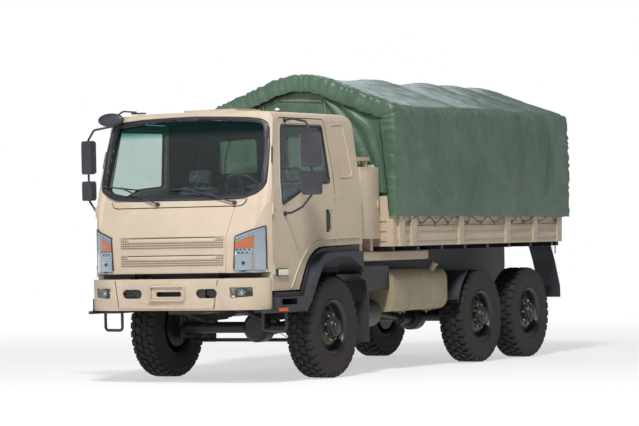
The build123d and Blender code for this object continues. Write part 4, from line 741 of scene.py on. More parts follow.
def ring_of_bolts(name, count, circle, radius, low, high, sides=6):
    """Small bolts in a circle round the wheel's axis."""
    made = []
    for number in range(count):
        angle = 2 * pi * number / count
        x, z = sin(angle) * circle, cos(angle) * circle
        made.append(add_round(name, (x, low, z), (x, high, z), radius, sides, 0.0015))
    return join(name, made)


hub_bolts = ring_of_bolts("hub_bolts", 10, 0.084, 0.008, 0.168, 0.183)
cap_bolts = ring_of_bolts("cap_bolts", 6, 0.046, 0.006, 0.196, 0.2055)
wheel = join("wheel", [rim, hub, drum, hub_bolts, cap_bolts])
WHEEL_NUTS, NUT_CIRCLE = 8, 0.138
nuts = ring_of_bolts("nuts", WHEEL_NUTS, NUT_CIRCLE, 0.0165, 0.092, 0.118)
studs = ring_of_bolts("studs", WHEEL_NUTS, NUT_CIRCLE, 0.008, 0.110, 0.130, 8)
nuts = join("wheel_nuts", [nuts, studs])
print("wheel faces:", len(wheel.data.polygons), "nut faces:", len(nuts.data.polygons))

# %% Six of each
WHEEL_Y, AXLE_Z = 0.9855, 0.543
for row in ("front", "middle", "rear"):
    for side, sign in (("left", 1), ("right", -1)):
        low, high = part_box(f"tyre_{row}_{side}")
        middle = Vector(((low.x + high.x) / 2, sign * WHEEL_Y, AXLE_Z))
        turn_in = Matrix.Translation(middle) @ Matrix.Rotation(0 if sign > 0 else pi, 4, "Z")
        own_turn = radians(11 * len(row) * (2 + sign))
        turn_in = turn_in @ Matrix.Rotation(own_turn, 4, "Y")
        body = f"{row}_{side}_wheel"
        made = dress(copy_of(tyre, f"road_tyre_{row}_{side}", turn_in), TYRE, body, 28)
        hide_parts(f"tyre_{row}_{side}")
        made = dress(copy_of(wheel, f"disc_wheel_{row}_{side}", turn_in), WHEEL_GREY, body, 30)
        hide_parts(f"wheel_{row}_{side}")
        dress(copy_of(nuts, f"wheel_nuts_{row}_{side}", turn_in), BRASS, body, 30)
for template in (tyre, wheel, nuts):
    bpy.data.objects.remove(template)
print("tyres and wheels are on their hubs")

# %% [markdown]
# ## The cab's front
# The front of the cab is curved both ways, so flat plates would stand off it. We model each plate
# flat, cut it into strips so that it can bend, and then lay it on: every point is carried along a
# ray to the cab's skin and keeps only its own height above it.


# %% Lay a plate on a surface
def touch(name, start, direction):
    """Where a straight line meets a piece of the frame."""
    found, place, normal, face = nodes[name].ray_cast(Vector(start), Vector(direction).normalized())
    if not found:
        raise ValueError(f"nothing of {name} lies along that line: {start}")
    return place


def slice_across(piece, axis, count):
    """Cut a piece into equal strips across an axis so that it can bend."""
    spots = [vertex.co[axis] for vertex in piece.data.vertices]
    low, high = min(spots), max(spots)
    across = Vector([1.0 if i == axis else 0.0 for i in range(3)])
    pick(piece)
    bpy.ops.object.mode_set(mode="EDIT")
    for number in range(1, count):
        bpy.ops.mesh.select_all(action="SELECT")
        bpy.ops.mesh.bisect(plane_co=across * (low + (high - low) * number / count), plane_no=across)
    bpy.ops.object.mode_set(mode="OBJECT")
    return piece


def lay_on(piece, name, direction=(-1, 0, 0), zero=0.0):
    """Carry each point to the surface along the direction; its distance from the plane at zero stays."""
    direction = Vector(direction).normalized()
    for vertex in piece.data.vertices:
        height = -(vertex.co.dot(direction)) - zero
        start = vertex.co - direction * 8
        vertex.co = touch(name, start, direction) - direction * height
    piece.data.update()
    return piece


def front_plate(name, outline, low, high, strips=24, rows=1, bevel=0.0):
    """A plate on the cab's front; the outline is y and z, low and high its faces above the skin."""
    piece = add_outline(name, [(low, y, z) for y, z in outline], (high - low, 0, 0), bevel, 1)
    slice_across(piece, 1, strips)
    if rows > 1:
        slice_across(piece, 2, rows)
    return lay_on(piece, "cab_shell")


print("the skin stands at", round(touch("cab_shell", (8, 0, 1.7), (-1, 0, 0)).x, 3), "m at the nose")

# %% [markdown]
# The two air bands are perforated plate: holes of 17 mm at 22 mm spacing in three rows, with five
# rows in the short tabs at both ends. One cell, a square with an eight-sided hole, is modelled and
# repeated with the Array modifier, then given its thickness and laid on.

# %% Perforated bands
HOLE_PITCH_Y, HOLE_PITCH_Z, HOLE_RADIUS = 0.0222, 0.0240, 0.0085


def perforated(name, first_y, first_z, columns, rows):
    """A perforated plate, given the centre of its lowest left hole."""
    clear_selection()
    bpy.ops.mesh.primitive_circle_add(vertices=8, radius=HOLE_RADIUS, fill_type="NOTHING")
    cell = bpy.context.object
    edit_all(cell)
    bpy.ops.mesh.extrude_region_move(TRANSFORM_OT_translate={"value": (0, 0, 0)})
    bpy.ops.object.mode_set(mode="OBJECT")
    for vertex in cell.data.vertices:
        if vertex.select:
            reach = max(abs(vertex.co.x) / HOLE_PITCH_Y, abs(vertex.co.y) / HOLE_PITCH_Z)
            vertex.co /= 2 * reach
    for vertex in cell.data.vertices:
        vertex.co = (0, vertex.co.x + first_y, vertex.co.y + first_z)
    cell.name = name
    modify(cell, "ARRAY", count=columns, use_relative_offset=False, use_constant_offset=True,
           constant_offset_displace=(0, HOLE_PITCH_Y, 0), use_merge_vertices=True, merge_threshold=0.0005)
    modify(cell, "ARRAY", count=rows, use_relative_offset=False, use_constant_offset=True,
           constant_offset_displace=(0, 0, HOLE_PITCH_Z), use_merge_vertices=True, merge_threshold=0.0005)
    modify(cell, "SOLIDIFY", thickness=0.0022, offset=0)
    return cell


# One flat black: the own colour of the rope and the windscreen's border, and painted shade where it stands in for
# holes, gaps and seam grooves.
BLACK_AND_PAINTED_SHADE = new_material("grille_backing_plastic", "17171A", 0.8)
BANDS = {"upper": (1.430, 1.540), "lower": (1.244, 1.354)}
COLUMNS, TAB_COLUMNS = 57, 4
PLATE_LIFT = 0.0078
first = -(COLUMNS - 1) / 2 * HOLE_PITCH_Y
for label, (row_z, top_z) in BANDS.items():
    parts = [perforated("holes", first, row_z, COLUMNS, 3)]
    for start in (first, -first - (TAB_COLUMNS - 1) * HOLE_PITCH_Y):
        parts.append(perforated("tab", start, row_z + 3 * HOLE_PITCH_Z, TAB_COLUMNS, 2))
    plate = join(f"perforated_band_{label}", parts)
    for vertex in plate.data.vertices:
        vertex.co.x += PLATE_LIFT
    lay_on(plate, "cab_shell")
    mend_normals(plate)
    dress(plate, SAND, "cab", 25)
    reach = -first + HOLE_PITCH_Y / 2
    # A black sheet behind the holes: painted shade seen through them.
    backing = front_plate(f"grille_backing_{label}", [(-reach, row_z - 0.011), (reach, row_z - 0.011),
                          (reach, row_z + 0.106), (-reach, row_z + 0.106)], 0.0038, 0.0050, 24, 4)
    dress(backing, BLACK_AND_PAINTED_SHADE, "cab", 0)
    lip_low = row_z + 2.5 * HOLE_PITCH_Z
    section = [(0.0035, lip_low), (0.0092, lip_low + 0.002), (0.0096, lip_low + 0.004),
               (0.0096, lip_low + 0.020), (0.0090, lip_low + 0.023), (0.0036, top_z - 0.006)]
    inner = -first - TAB_COLUMNS * HOLE_PITCH_Y
    lip = add_outline(f"grille_lip_{label}", [(x, -inner, z) for x, z in section], (0, 2 * inner, 0))
    slice_across(lip, 1, 24)
    for vertex in lip.data.vertices:
        out = 1 if vertex.co.y > 0 else -1
        vertex.co.y += out * (vertex.co.z - lip_low) * 0.7 * (abs(vertex.co.y) / inner) ** 8
    dress(lay_on(lip, "cab_shell"), SAND, "cab", 25)
print("perforated bands:", len(plate.data.polygons), "faces each")

# %% [markdown]
# The cowl strip under the windscreen is a separate cover with rounded lower corners, and a gap runs
# round it, drawn as a black plate of painted shade. The wipers turn on two spindles that come up through it.

# %% Cowl strip
cowl_outline = [(-0.832, 1.9235), (-0.822, 1.893), (-0.790, 1.866), (-0.745, 1.8575), (0.745, 1.8575),
                (0.790, 1.866), (0.822, 1.893), (0.832, 1.9235)]
gap_outline = [(-0.842, 1.9245), (-0.831, 1.887), (-0.797, 1.858), (-0.745, 1.8475), (0.745, 1.8475),
               (0.797, 1.858), (0.831, 1.887), (0.842, 1.9245)]
# The gap's darkness is painted shade: a black plate just above the skin, under the strip's edge.
dress(front_plate("cowl_gap", gap_outline, 0.0004, 0.0012, 30, 3), BLACK_AND_PAINTED_SHADE, "cab", 0)
dress(front_plate("cowl_strip", cowl_outline, 0.0010, 0.0080, 30, 3, 0.002), SAND, "cab", 25)


# %% Wipers
def on_glass(y, z, lift):
    """A point above the windscreen or, at its edge, the rubber round it."""
    inside = abs(y) < 0.94 and z > 2.0
    name = "cab_glass" if inside else "windshield_seal"
    return touch(name, (8, y, z), (-1, 0, 0)) + Vector((lift, 0, lift * 0.3))


def on_skin(y, z, lift):
    """A point above the cab's painted front."""
    return touch("cab_shell", (8, y, z), (-1, 0, 0)) + Vector((lift, 0, 0))


WIPERS = {"right": ((-0.197, 1.886), (-0.985, 2.088), (-0.446, 2.036)),
          "left": ((0.717, 1.886), (-0.105, 2.038), (0.431, 2.020))}
BLADE_STEPS = 9
for label, (pivot, tip, heel) in WIPERS.items():
    middle = ((tip[0] + heel[0]) / 2, (tip[1] + heel[1]) / 2)
    base = on_skin(*pivot, 0.006)
    cap = add_round("cap", base, base + Vector((0.036, 0, 0.010)), 0.021, 20, 0.004)
    joint_point = base + Vector((0.030, 0, 0.008))
    hold = on_glass(*middle, 0.050)
    elbow = joint_point.lerp(hold, 0.42) + Vector((0.004, 0, 0))
    arm = add_tube("arm", [joint_point, elbow, hold], 0.0085, 0.05)
    rod = add_tube("rod", [elbow + Vector((0.006, 0, 0.004)), hold + Vector((0, 0, 0.003))], 0.006, 0.02)
    line = [on_glass(*spot, 0.030) for spot in run_along([tip, heel], BLADE_STEPS)]
    spine = add_tube("spine", line, 0.0065, 0.02)
    rubber_line = [point - Vector((0.013, 0, 0.004)) for point in line]
    blade = add_tube("blade", rubber_line, 0.0055, 0.02)
    yokes = [add_tube("yoke", [line[a], line[(a + b) // 2] + Vector((0.016, 0, 0.002)), line[b]], 0.0042, 0.05)
             for a, b in ((1, 4), (5, 8), (2, 7))]
    wiper = join(f"wiper_{label}", [cap, arm, rod, spine, blade] + yokes)
    dress(wiper, BLACK_ABS, "cab", 40)
    print("wiper", label, "arm length", round((hold - joint_point).length, 3))

# %% [markdown]
# ## Lamps
# The head lamps follow the cab's curve round its corners. Behind one clear cover lie, from the top,
# a bright strip with a line of dark dots, the amber turn lamp with upright flutes, a bright field
# with small dark slots, and the square main reflector with its bulb. Real bowls are deeper; here the
# skin lies close behind, so their form is pressed into a bright plate about 10 mm deep.


# %% Relief plates on the cab's front
def relief(name, outline, across, up, height_of):
    """A sheet inside four corners (lower inner, lower outer, upper outer, upper inner), raised by a function
    of the two shares 0 to 1 across and up."""
    corners = [Vector((0, y, z)) for y, z in outline]

    def place_of(u, v):
        low, high = corners[0].lerp(corners[1], u), corners[3].lerp(corners[2], u)
        place = low.lerp(high, v)
        return height_of(u, v), place.y, place.z

    return lay_on(bend_grid(name, across, up, place_of), "cab_shell")


def cushion(u, v, across, up, depth):
    """Little facets like cushions, as pressed into a reflector."""
    return depth * abs(sin(pi * u * across) * sin(pi * v * up)) ** 0.7


def bowl(u, v, rim, depth):
    """A reflector bowl with a flat bottom and a bulb cap in the middle."""
    spread = min(1, sqrt((u - 0.5) ** 2 + (v - 0.5) ** 2) * 2)
    return rim - depth * (1 - spread ** 2)


CHIP_BLACK = new_material("black_lamp_trim", "121417", 0.35)
TURN_GLOW = new_material("amber_turn_reflector", "EE6A06", 0.25)
shader_of(TURN_GLOW).inputs["Coat Weight"].default_value = 0.8
LAMP_INNER, LAMP_OUTER, LAMP_FOOT = 0.748, 1.052, 1.158
pieces = []
back = [(LAMP_INNER, LAMP_FOOT), (LAMP_OUTER, LAMP_FOOT), (LAMP_OUTER, 1.638), (0.770, 1.536)]
pieces.append(dress(front_plate("lamp_back", back, 0.0004, 0.0016, 10), CHROME, "cab", 0))
strip = relief("lamp_strip", [(0.770, 1.474), (1.050, 1.592), (1.050, 1.636), (0.770, 1.532)], 16, 3,
               lambda u, v: 0.007 + 0.003 * v)
main = relief("lamp_bowl", [(0.772, 1.168), (0.930, 1.168), (0.936, 1.352), (0.764, 1.352)], 24, 26,
              lambda u, v: bowl(u, v, 0.0098, 0.0072) + cushion(u, v, 8, 9, 0.0012))
side = relief("lamp_side", [(0.955, 1.168), (1.046, 1.168), (1.046, 1.590), (0.955, 1.548)], 6, 20,
              lambda u, v: 0.0035 + 0.006 * u)
field = relief("lamp_field", [(0.766, 1.356), (0.940, 1.356), (0.946, 1.414), (0.768, 1.414)], 8, 6,
               lambda u, v: 0.0075 + 0.002 * cos(2 * pi * v))
bright = modify(join("lamp_reflectors", [strip, main, side, field]), "SOLIDIFY", thickness=0.0012, offset=-1)
pieces.append(dress(bright, CHROME, "cab", 40))
flutes = relief("lamp_turn", [(0.768, 1.417), (0.951, 1.420), (0.951, 1.545), (0.768, 1.470)], 40, 6,
                lambda u, v: 0.0072 + 0.0022 * abs(sin(pi * u * 12)))
modify(flutes, "SOLIDIFY", thickness=0.002, offset=-1)
pieces.append(dress(flutes, TURN_GLOW, "cab", 50))
trims = []
DOTS, DOT_PITCH, DOT_RISE, SLOT_PITCH = 9, 0.0315, 0.0131, 0.040
for number in range(DOTS):
    y, z = 0.786 + number * DOT_PITCH, 1.505 + number * DOT_RISE
    spot = on_skin(y, z, 0.0088)
    trims.append(add_round("dot", spot, spot + Vector((0.0016, 0, 0)), 0.0062, 10))
for row, count in ((1.400, 4), (1.368, 3)):
    for number in range(count):
        y = 0.790 + number * SLOT_PITCH + (1.400 - row) * 0.5
        spot = on_skin(y, row, 0.0086)
        trims.append(add_block("slot", spot - Vector((0.001, 0.012, 0.008)), spot + Vector((0.002, 0.012, 0.008))))
spot = on_skin(0.850, 1.262, 0.003)
trims.append(add_round("bulb", spot, spot + Vector((0.0085, 0, 0)), 0.020, 20, 0.003))
pieces.append(dress(join("lamp_trims", trims), CHIP_BLACK, "cab", 30))
rim_line = [(LAMP_INNER - 0.003, LAMP_FOOT - 0.003), (0.900, LAMP_FOOT - 0.004), (LAMP_OUTER, LAMP_FOOT - 0.003),
            (LAMP_OUTER + 0.002, 1.40), (LAMP_OUTER, 1.640), (0.91, 1.592), (0.768, 1.540), (0.757, 1.350),
            (LAMP_INNER - 0.003, LAMP_FOOT - 0.003)]
bezel = add_tube("lamp_bezel", [on_skin(*spot, 0.007) for spot in run_along(rim_line, 4)], 0.0075, 0.01, 8, 2)
pieces.append(dress(bezel, SEAL_RUBBER, "cab", 50))
window = [(LAMP_INNER, LAMP_FOOT), (LAMP_OUTER, LAMP_FOOT), (LAMP_OUTER, 1.636), (0.769, 1.536)]
cover = modify(relief("lamp_cover", window, 16, 14, lambda u, v: 0.0132), "SOLIDIFY", thickness=0.0014, offset=-1)
pieces.append(dress(cover, LENS, "cab", 40))
for piece in pieces:
    mirrored(piece, "cab")
print("head lamp pieces on each side:", len(pieces))

# %% [markdown]
# The two marker lamps on the roof are opal domes on round rubber feet.

# %% Roof marker lamps
for side, sign in (("left", 1), ("right", -1)):
    x, y = 2.845, sign * 0.890
    roof = touch("cab_shell", (x + 0.05, y, 5), (0, 0, -1)).z
    foot = add_lathe("foot", [(0.0, 2.826), (0.033, 2.826), (0.033, roof + 0.008), (0.028, roof + 0.012),
                              (0.0, roof + 0.012)], 28, "Z", (x, y, 0), False)
    dress(foot, SEAL_RUBBER, "cab", 40)
    foot.name = f"marker_foot_{side}"
    dome = add_lathe("dome", [(0.0, roof + 0.011), (0.0265, roof + 0.011), (0.0265, roof + 0.020),
                              (0.024, roof + 0.030), (0.016, 2.880), (0.0, 2.884)], 28, "Z", (x, y, 0), False)
    dress(dome, MARKER_LENS, "cab", 50)
    dome.name = f"marker_dome_{side}"
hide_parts("cab_lamps")
print("marker lamps stand at", round(roof, 3))

# %% [markdown]
# ## The cab's sides
# A half-round bead is pressed round the wheel arch and runs back over the door and the cab's rear
# corner. The door windows sit in thick rubber; the door skin is rolled over round them, and that
# rounded edge is what catches the light. Every line is given by its x and z on the cab's side and
# carried to the skin it lies on.


# %% Lines on the cab's sides
def on_side(name, x, z, lift=0.0):
    """A point on the left side of a piece of the cab, lifted off its skin."""
    return touch(name, (x, 3, z), (0, -1, 0)) + Vector((0, lift, 0))


def side_line(name, points, steps, lift):
    """Points of a line laid on the left side, each run cut into steps."""
    return [on_side(name, *spot, lift) for spot in run_along(points, steps)]


DOORS = ("left_door", "right_door")
BEAD_RADIUS = 0.0105
door_bead = [(1.997, 1.493), (2.066, 1.491), (2.318, 1.480), (2.440, 1.459), (2.535, 1.425), (2.617, 1.380),
             (2.687, 1.322), (2.756, 1.257), (2.819, 1.184), (2.875, 1.110), (2.930, 1.030), (2.966, 0.985)]
bead = add_tube("door_bead", side_line("door_left", door_bead, 1, 0.001), BEAD_RADIUS, 0.06, 12, 3)
both_sides(bead, SAND, *DOORS, 60, "sand_paint")
bead = add_tube("corner_bead", side_line("cab_shell", [(1.484, 1.502), (1.760, 1.497), (1.970, 1.493)], 2, 0.001),
                BEAD_RADIUS, 0.02, 12, 3)
both_sides(bead, SAND, "cab", "cab", 60, "sand_paint")
pressing = [(1.930, 2.716), (1.860, 2.724), (1.760, 2.728), (1.690, 2.724), (1.662, 2.690), (1.640, 2.575),
            (1.606, 2.400), (1.574, 2.225), (1.582, 2.180), (1.632, 2.157), (1.740, 2.155), (1.855, 2.157)]
bead = add_tube("corner_pressing", side_line("cab_shell", pressing, 2, 0.0), 0.0095, 0.03, 12, 3)
both_sides(bead, SAND, "cab", "cab", 60, "sand_paint")

# %% Window seals, rolled edges and handles
window = rounded_loop([(3.130, 1.838, 0.040), (3.120, 2.117, 0.300), (3.007, 2.705, 0.060), (2.111, 2.712, 0.050),
                       (2.057, 2.085, 0.050), (2.537, 2.050, 0.120)])
seal_line = [on_side("door_glass_left", *point, 0.010) for point in closed_line(pushed(window, -0.014))]
seal = add_tube("window_seal", seal_line, 0.0125, 0.03, 8, 2)
both_sides(seal, SEAL_RUBBER, *DOORS, 60, "black_rubber")
edge_line = [on_side("door_left", *point, -0.003) for point in closed_line(pushed(window, 0.016))]
edge = add_tube("rolled_edge", edge_line, 0.0072, 0.04, 8, 3)
both_sides(edge, SAND, *DOORS, 60, "sand_paint")
skin = on_side("door_left", 2.14, 1.68).y
WELL = [(2.060, 1.565), (2.072, 1.549), (2.213, 1.549), (2.225, 1.565), (2.225, 1.801), (2.213, 1.817),
        (2.072, 1.817), (2.060, 1.801)]
well = add_outline("handle_well", [(x, skin - 0.0005, z) for x, z in WELL], (0, 0.007, 0), 0.003, 2)
grip = add_block("grip", (2.098, skin + 0.010, 1.585), (2.190, skin + 0.026, 1.785), 0.008, 3)
feet = [add_block("foot", (2.110, skin + 0.004, z), (2.178, skin + 0.016, z + 0.030), 0.003, 1)
        for z in (1.590, 1.750)]
lock = add_round("lock", (2.142, skin + 0.024, 1.610), (2.142, skin + 0.0285, 1.610), 0.009, 20, 0.001)
handle = join("door_handle", [well, grip, lock] + feet)
both_sides(handle, BLACK_ABS, *DOORS, 35, "black_plastic")

# %% [markdown]
# The side lamp on the door's foot is a flat black box with a clear cover over three cells. A slot,
# the outlet of the cab's air, is let into the screen pillar; its darkness is painted shade, a black tube.

# %% Side lamps and pillar slots
skin = on_side("door_left", 3.15, 1.15).y
base = add_block("side_lamp_base", (3.044, skin - 0.001, 1.114), (3.270, skin + 0.016, 1.194), 0.004, 2)
both_sides(base, BLACK_ABS, *DOORS, 35, "black_plastic")
PEARL = new_material("pearly_side_lamp", "D9D8C8", 0.3)
CELL_PITCH = 0.068
cells = [add_block("cell", (3.052 + CELL_PITCH * i, skin + 0.012, 1.122),
                   (3.112 + CELL_PITCH * i, skin + 0.024, 1.186), 0.005, 2) for i in range(3)]
both_sides(join("side_lamp_cells", cells), PEARL, *DOORS, 35, "lamp_lens")
slot_points = [(3.275, 1.068, 2.292), (3.262, 1.061, 2.336), (3.248, 1.054, 2.382), (3.234, 1.047, 2.428),
               (3.221, 1.040, 2.471)]
slot_line = [touch("cab_shell", (x + 2, y + 1.4, z), (-2, -1.4, 0)) for x, y, z in slot_points]
print("pillar slot from", [round(v, 3) for v in slot_line[0]], "to", [round(v, 3) for v in slot_line[-1]])
# The slot's darkness is painted shade: a black tube laid on the skin.
slot = add_tube("pillar_slot", slot_line, 0.009, 0.02, 8, 2)
both_sides(slot, BLACK_ABS, "cab", "cab", 50, "black_plastic")

# %% [markdown]
# A broad rubber seal holds the windscreen. It is built between two outlines taken round the screen:
# at each angle from the middle, five points run from the paint over the rubber's crown to the glass.

# %% Windscreen seal
SEAL_OUTER = [(-0.953, 2.78), (-0.574, 2.804), (-0.239, 2.811), (0.132, 2.813), (0.483, 2.80), (0.734, 2.787),
              (0.882, 2.767), (0.951, 2.726), (0.987, 2.663), (1.016, 2.492), (1.031, 2.262), (1.035, 2.094),
              (1.013, 2.033), (0.928, 1.974), (0.822, 1.939), (0.712, 1.922), (0.448, 1.909), (-0.084, 1.914),
              (-0.471, 1.922), (-0.782, 1.938), (-0.92, 1.978), (-1.013, 2.043), (-1.033, 2.132), (-1.029, 2.401),
              (-1.005, 2.638), (-0.985, 2.741)]
SEAL_INNER = [(-0.902, 2.746), (-0.426, 2.767), (0.141, 2.762), (0.659, 2.745), (0.881, 2.72), (0.919, 2.673),
              (0.938, 2.572), (0.959, 2.264), (0.962, 2.096), (0.935, 2.043), (0.769, 1.985), (0.439, 1.971),
              (-0.095, 1.973), (-0.686, 1.986), (-0.923, 2.033), (-0.966, 2.089), (-0.965, 2.4), (-0.935, 2.685)]
SEAL_MIDDLE = Vector((0.0, 2.35))


def loop_at(loop, angle):
    """Where a ray from the middle at an angle crosses a closed outline."""
    ray = Vector((cos(angle), sin(angle)))
    for number, start in enumerate(loop):
        a, b = Vector(start) - SEAL_MIDDLE, Vector(loop[(number + 1) % len(loop)]) - SEAL_MIDDLE
        run = b - a
        bottom = ray.x * run.y - ray.y * run.x
        if abs(bottom) < 1e-9:
            continue
        far = (a.x * run.y - a.y * run.x) / bottom
        share = (a.x * ray.y - a.y * ray.x) / bottom
        if far > 0 and -1e-6 <= share <= 1:
            return SEAL_MIDDLE + ray * far
    raise ValueError("the outline isn't closed")


def front_most(y, z):
    """The foremost point of the cab's front at a place."""
    spots = []
    for name in ("cab_shell", "cab_glass", "windshield_seal"):
        found, place, normal, face = nodes[name].ray_cast(Vector((8, y, z)), Vector((-1, 0, 0)))
        if found and place.x > 3.0:
            spots.append(place)
    return max(spots, key=lambda place: place.x)


SEAL_STEPS = 180
BORDER_STEP = 0.004
SEAL_ROWS = ((0.0, 0.0), (0.06, 0.007), (0.35, 0.0105), (0.62, 0.009), (0.66, 0.0055), (0.72, 0.0085), (0.93, 0.006),
             (1.0, 0.0))


def seal_point(turn, across):
    """A point of the seal: turn goes once round the screen, across from the paint to the glass."""
    angle = turn * 2 * pi
    share, lift = SEAL_ROWS[round(across * (len(SEAL_ROWS) - 1))]
    spot = loop_at(SEAL_OUTER, angle).lerp(loop_at(SEAL_INNER, angle), share)
    return front_most(*spot) + Vector((lift, 0, lift * 0.25))


def border_point(turn, share):
    """A point between the seal's inner edge and the place where bare glass starts."""
    start = loop_at(SEAL_INNER, turn * 2 * pi)
    run = (SEAL_MIDDLE - start).normalized()
    reach = BORDER_STEP
    while reach < 0.14:
        spot = start + run * reach
        found, place, normal, face = nodes["cab_glass"].ray_cast(Vector((8, *spot)), Vector((-1, 0, 0)))
        if found and (front_most(*spot) - place).length < 0.002:
            break
        reach += BORDER_STEP
    return front_most(*(start + run * (reach + BORDER_STEP) * share)) + Vector((0.0012, 0, 0.0004))


seal = mend_normals(bend_grid("windscreen_seal_profile", SEAL_STEPS, len(SEAL_ROWS) - 1, seal_point))
border = mend_normals(bend_grid("windscreen_black_border", SEAL_STEPS, 4, border_point))
dress(border, BLACK_AND_PAINTED_SHADE, "cab", 50)
dress(seal, SEAL_RUBBER, "cab", 50)
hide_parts("windshield_seal")
# A black strip behind the nose's lower edge: painted shade in the gap above the bumper.
nose_gap_shade = add_block("nose_gap_painted_shade", (3.392, -0.98, 1.110), (3.402, 0.98, 1.180), 0.002)
dress(nose_gap_shade, SEAL_RUBBER, "cab", 30)
print("windscreen seal:", len(seal.data.vertices), "points")

# %% [markdown]
# The cab shell is one piece, but its lining isn't sand: faces that look into the cab take the grey
# trim, and the edge under the nose is black as painted shade.

# %% Lining of the cab
shell = nodes["cab_shell"].data
for material in (INNER_TRIM, CHASSIS_BLACK):
    shell.materials.append(material)
lining_index = len(shell.materials) - 2
CAB_MIDDLE = Vector((2.45, 0.0, 2.2))
for polygon in shell.polygons:
    spot = polygon.center
    inward = (spot - CAB_MIDDLE).dot(polygon.normal) < 0 and 1.46 < spot.x < 3.50 and abs(spot.y) < 1.065
    if inward and 1.1 < spot.z < 2.89 and not (spot.x > 3.42 and spot.z < 1.9):
        polygon.material_index = lining_index
    # Faces under the nose are black as painted shade.
    if spot.z < 1.165 and spot.x > 3.37 and abs(spot.y) < 1.02:
        polygon.material_index = lining_index + 1
print("lined faces:", sum(polygon.material_index == lining_index for polygon in shell.polygons))

# %% [markdown]
# ## The bumper
# The bumper is one pressing with soft edges. The frame's mesh already has its bow and openings, so
# a copy of it is cleaned of needless edges and then bevelled. On it lie a lower panel under a crease,
# two slanted seams, the number plate's frame, fog lamps in their recesses and the tow eyes.

# %% Bumper pressing
skin = copy_of(nodes["bumper"], "bumper_pressing")
mend_normals(skin)
modify(skin, "DECIMATE", decimate_type="DISSOLVE", angle_limit=radians(3))
modify(skin, "BEVEL", width=0.011, segments=3, limit_method="ANGLE", angle_limit=radians(50))
skin.data.materials.clear()
dress(skin, SAND, "chassis", 40)


def on_bumper(y, z, lift):
    """A point above the bumper's face and the way that the face looks there."""
    found, place, normal, face = nodes["bumper"].ray_cast(Vector((8, y, z)), Vector((-1, 0, 0)))
    outward = Vector((normal.x, normal.y, 0)).normalized()
    return place + outward * lift, outward


def bumper_seam(name, points):
    """A thin dark line along the bumper's face: painted shade in a seam's groove."""
    line = [on_bumper(*spot, 0.0)[0] for spot in run_along(points, 5)]
    return dress(add_tube(name, line, 0.004, 0.01, 8, 2), BLACK_AND_PAINTED_SHADE, "chassis", 50)


# Dark lines of painted shade in the two seams' grooves.
bumper_seam("bumper_seam_right", [(-0.672, 1.090), (-0.633, 0.790)])
bumper_seam("bumper_seam_left", [(0.596, 1.090), (0.549, 0.790)])
LOWER_EDGE_Z = 0.792
CREASE = [(-0.632, 0.879), (-0.229, 0.826), (-0.006, 0.818), (0.190, 0.822), (0.545, 0.842)]
crease_line = []
for start, end, count in ((0, 1, 6), (1, 3, 6), (3, 4, 7)):
    crease_line += [Vector(CREASE[start]).lerp(Vector(CREASE[end]), i / 6) for i in range(count)]
lower = add_outline("bumper_lower_panel", [(0, point.x, point.y) for point in crease_line]
                    + [(0, 0.545 - 1.177 * i / 18, LOWER_EDGE_Z) for i in range(19)], (0.006, 0, 0))
slice_across(lower, 1, 24)
for vertex in lower.data.vertices:
    vertex.co = on_bumper(vertex.co.y, vertex.co.z, vertex.co.x + 0.0005)[0]
dress(soften(lower, 0.003, 2, 40), SAND, "chassis", 40)
frame_rim = [(-0.224, 0.880), (0.192, 0.880), (0.192, 1.026), (-0.224, 1.026)]
rim_line = [on_bumper(*spot, 0.012)[0] for spot in frame_rim + frame_rim[:1]]
dress(add_tube("plate_frame", rim_line, 0.012, 0.03, 12, 6), SAND, "chassis", 40)
print("bumper pressing:", len(skin.data.polygons), "faces")

# %% Fog lamps and tow eyes
FOG_X, FOG_Y, FOG_Z, TOW_Y = 3.565, 0.842, 0.958, 0.46
for side, sign in (("left", 1), ("right", -1)):
    outward = on_bumper(sign * 0.905, 1.030, 0.0)[1]
    centre = Vector((FOG_X, sign * FOG_Y, FOG_Z))
    turn = Matrix.Translation(centre) @ Matrix.Rotation(atan2(outward.y, outward.x) * 0.75, 4, "Z")
    bowl_piece = add_lathe("bowl", [(0.0, -0.030), (0.020, -0.028), (0.034, -0.016), (0.041, 0.0), (0.045, 0.001),
                                    (0.045, -0.002)], 28, "X", (0, 0, 0), False)
    dress(bowl_piece, CHROME, "chassis", 50)
    bezel = add_lathe("bezel", [(0.041, -0.004), (0.041, 0.006), (0.052, 0.006), (0.056, -0.004), (0.056, -0.030),
                                (0.050, -0.030)], 28, "X", (0, 0, 0))
    dress(bezel, CHIP_BLACK, "chassis", 40)
    lens = add_lathe("lens", [(0.0, 0.006), (0.020, 0.0055), (0.041, 0.003), (0.041, 0.0), (0.0, 0.003)], 28, "X",
                     (0, 0, 0), False)
    dress(lens, LENS, "chassis", 50)
    for piece, name in ((bowl_piece, "fog_lamp_bowl"), (bezel, "fog_lamp_bezel"), (lens, "fog_lamp_lens")):
        piece.data.transform(turn)
        piece.name = f"{name}_{side}"
    rounds = [2 * pi * i / 24 for i in range(24)]
    ring = [(3.596, sign * (0.437 + 0.133 * 0.5 * (1 - cos(a))), 0.959 + 0.040 * sin(a)) for a in rounds]
    dress(add_outline(f"tow_eye_{side}", ring, (0.012, 0, 0), 0.003), CHASSIS_BLACK, "chassis", 40)
    y = sign * TOW_Y
    back = add_block(f"tow_recess_{side}", (3.500, y - 0.17, 0.885), (3.506, y + 0.17, 1.015), 0.002)
    dress(back, STEEL, "chassis", 30)
print("fog lamps stand at", [round(v, 3) for v in centre])
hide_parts("bumper")

# %% [markdown]
# ## Mirrors
# The mirror heads and their tube arms belong to the frame. Here the heads get their glass, rubber
# sleeves clamp them to the tube, and the oval ramp mirror hangs at the right front corner of the roof.

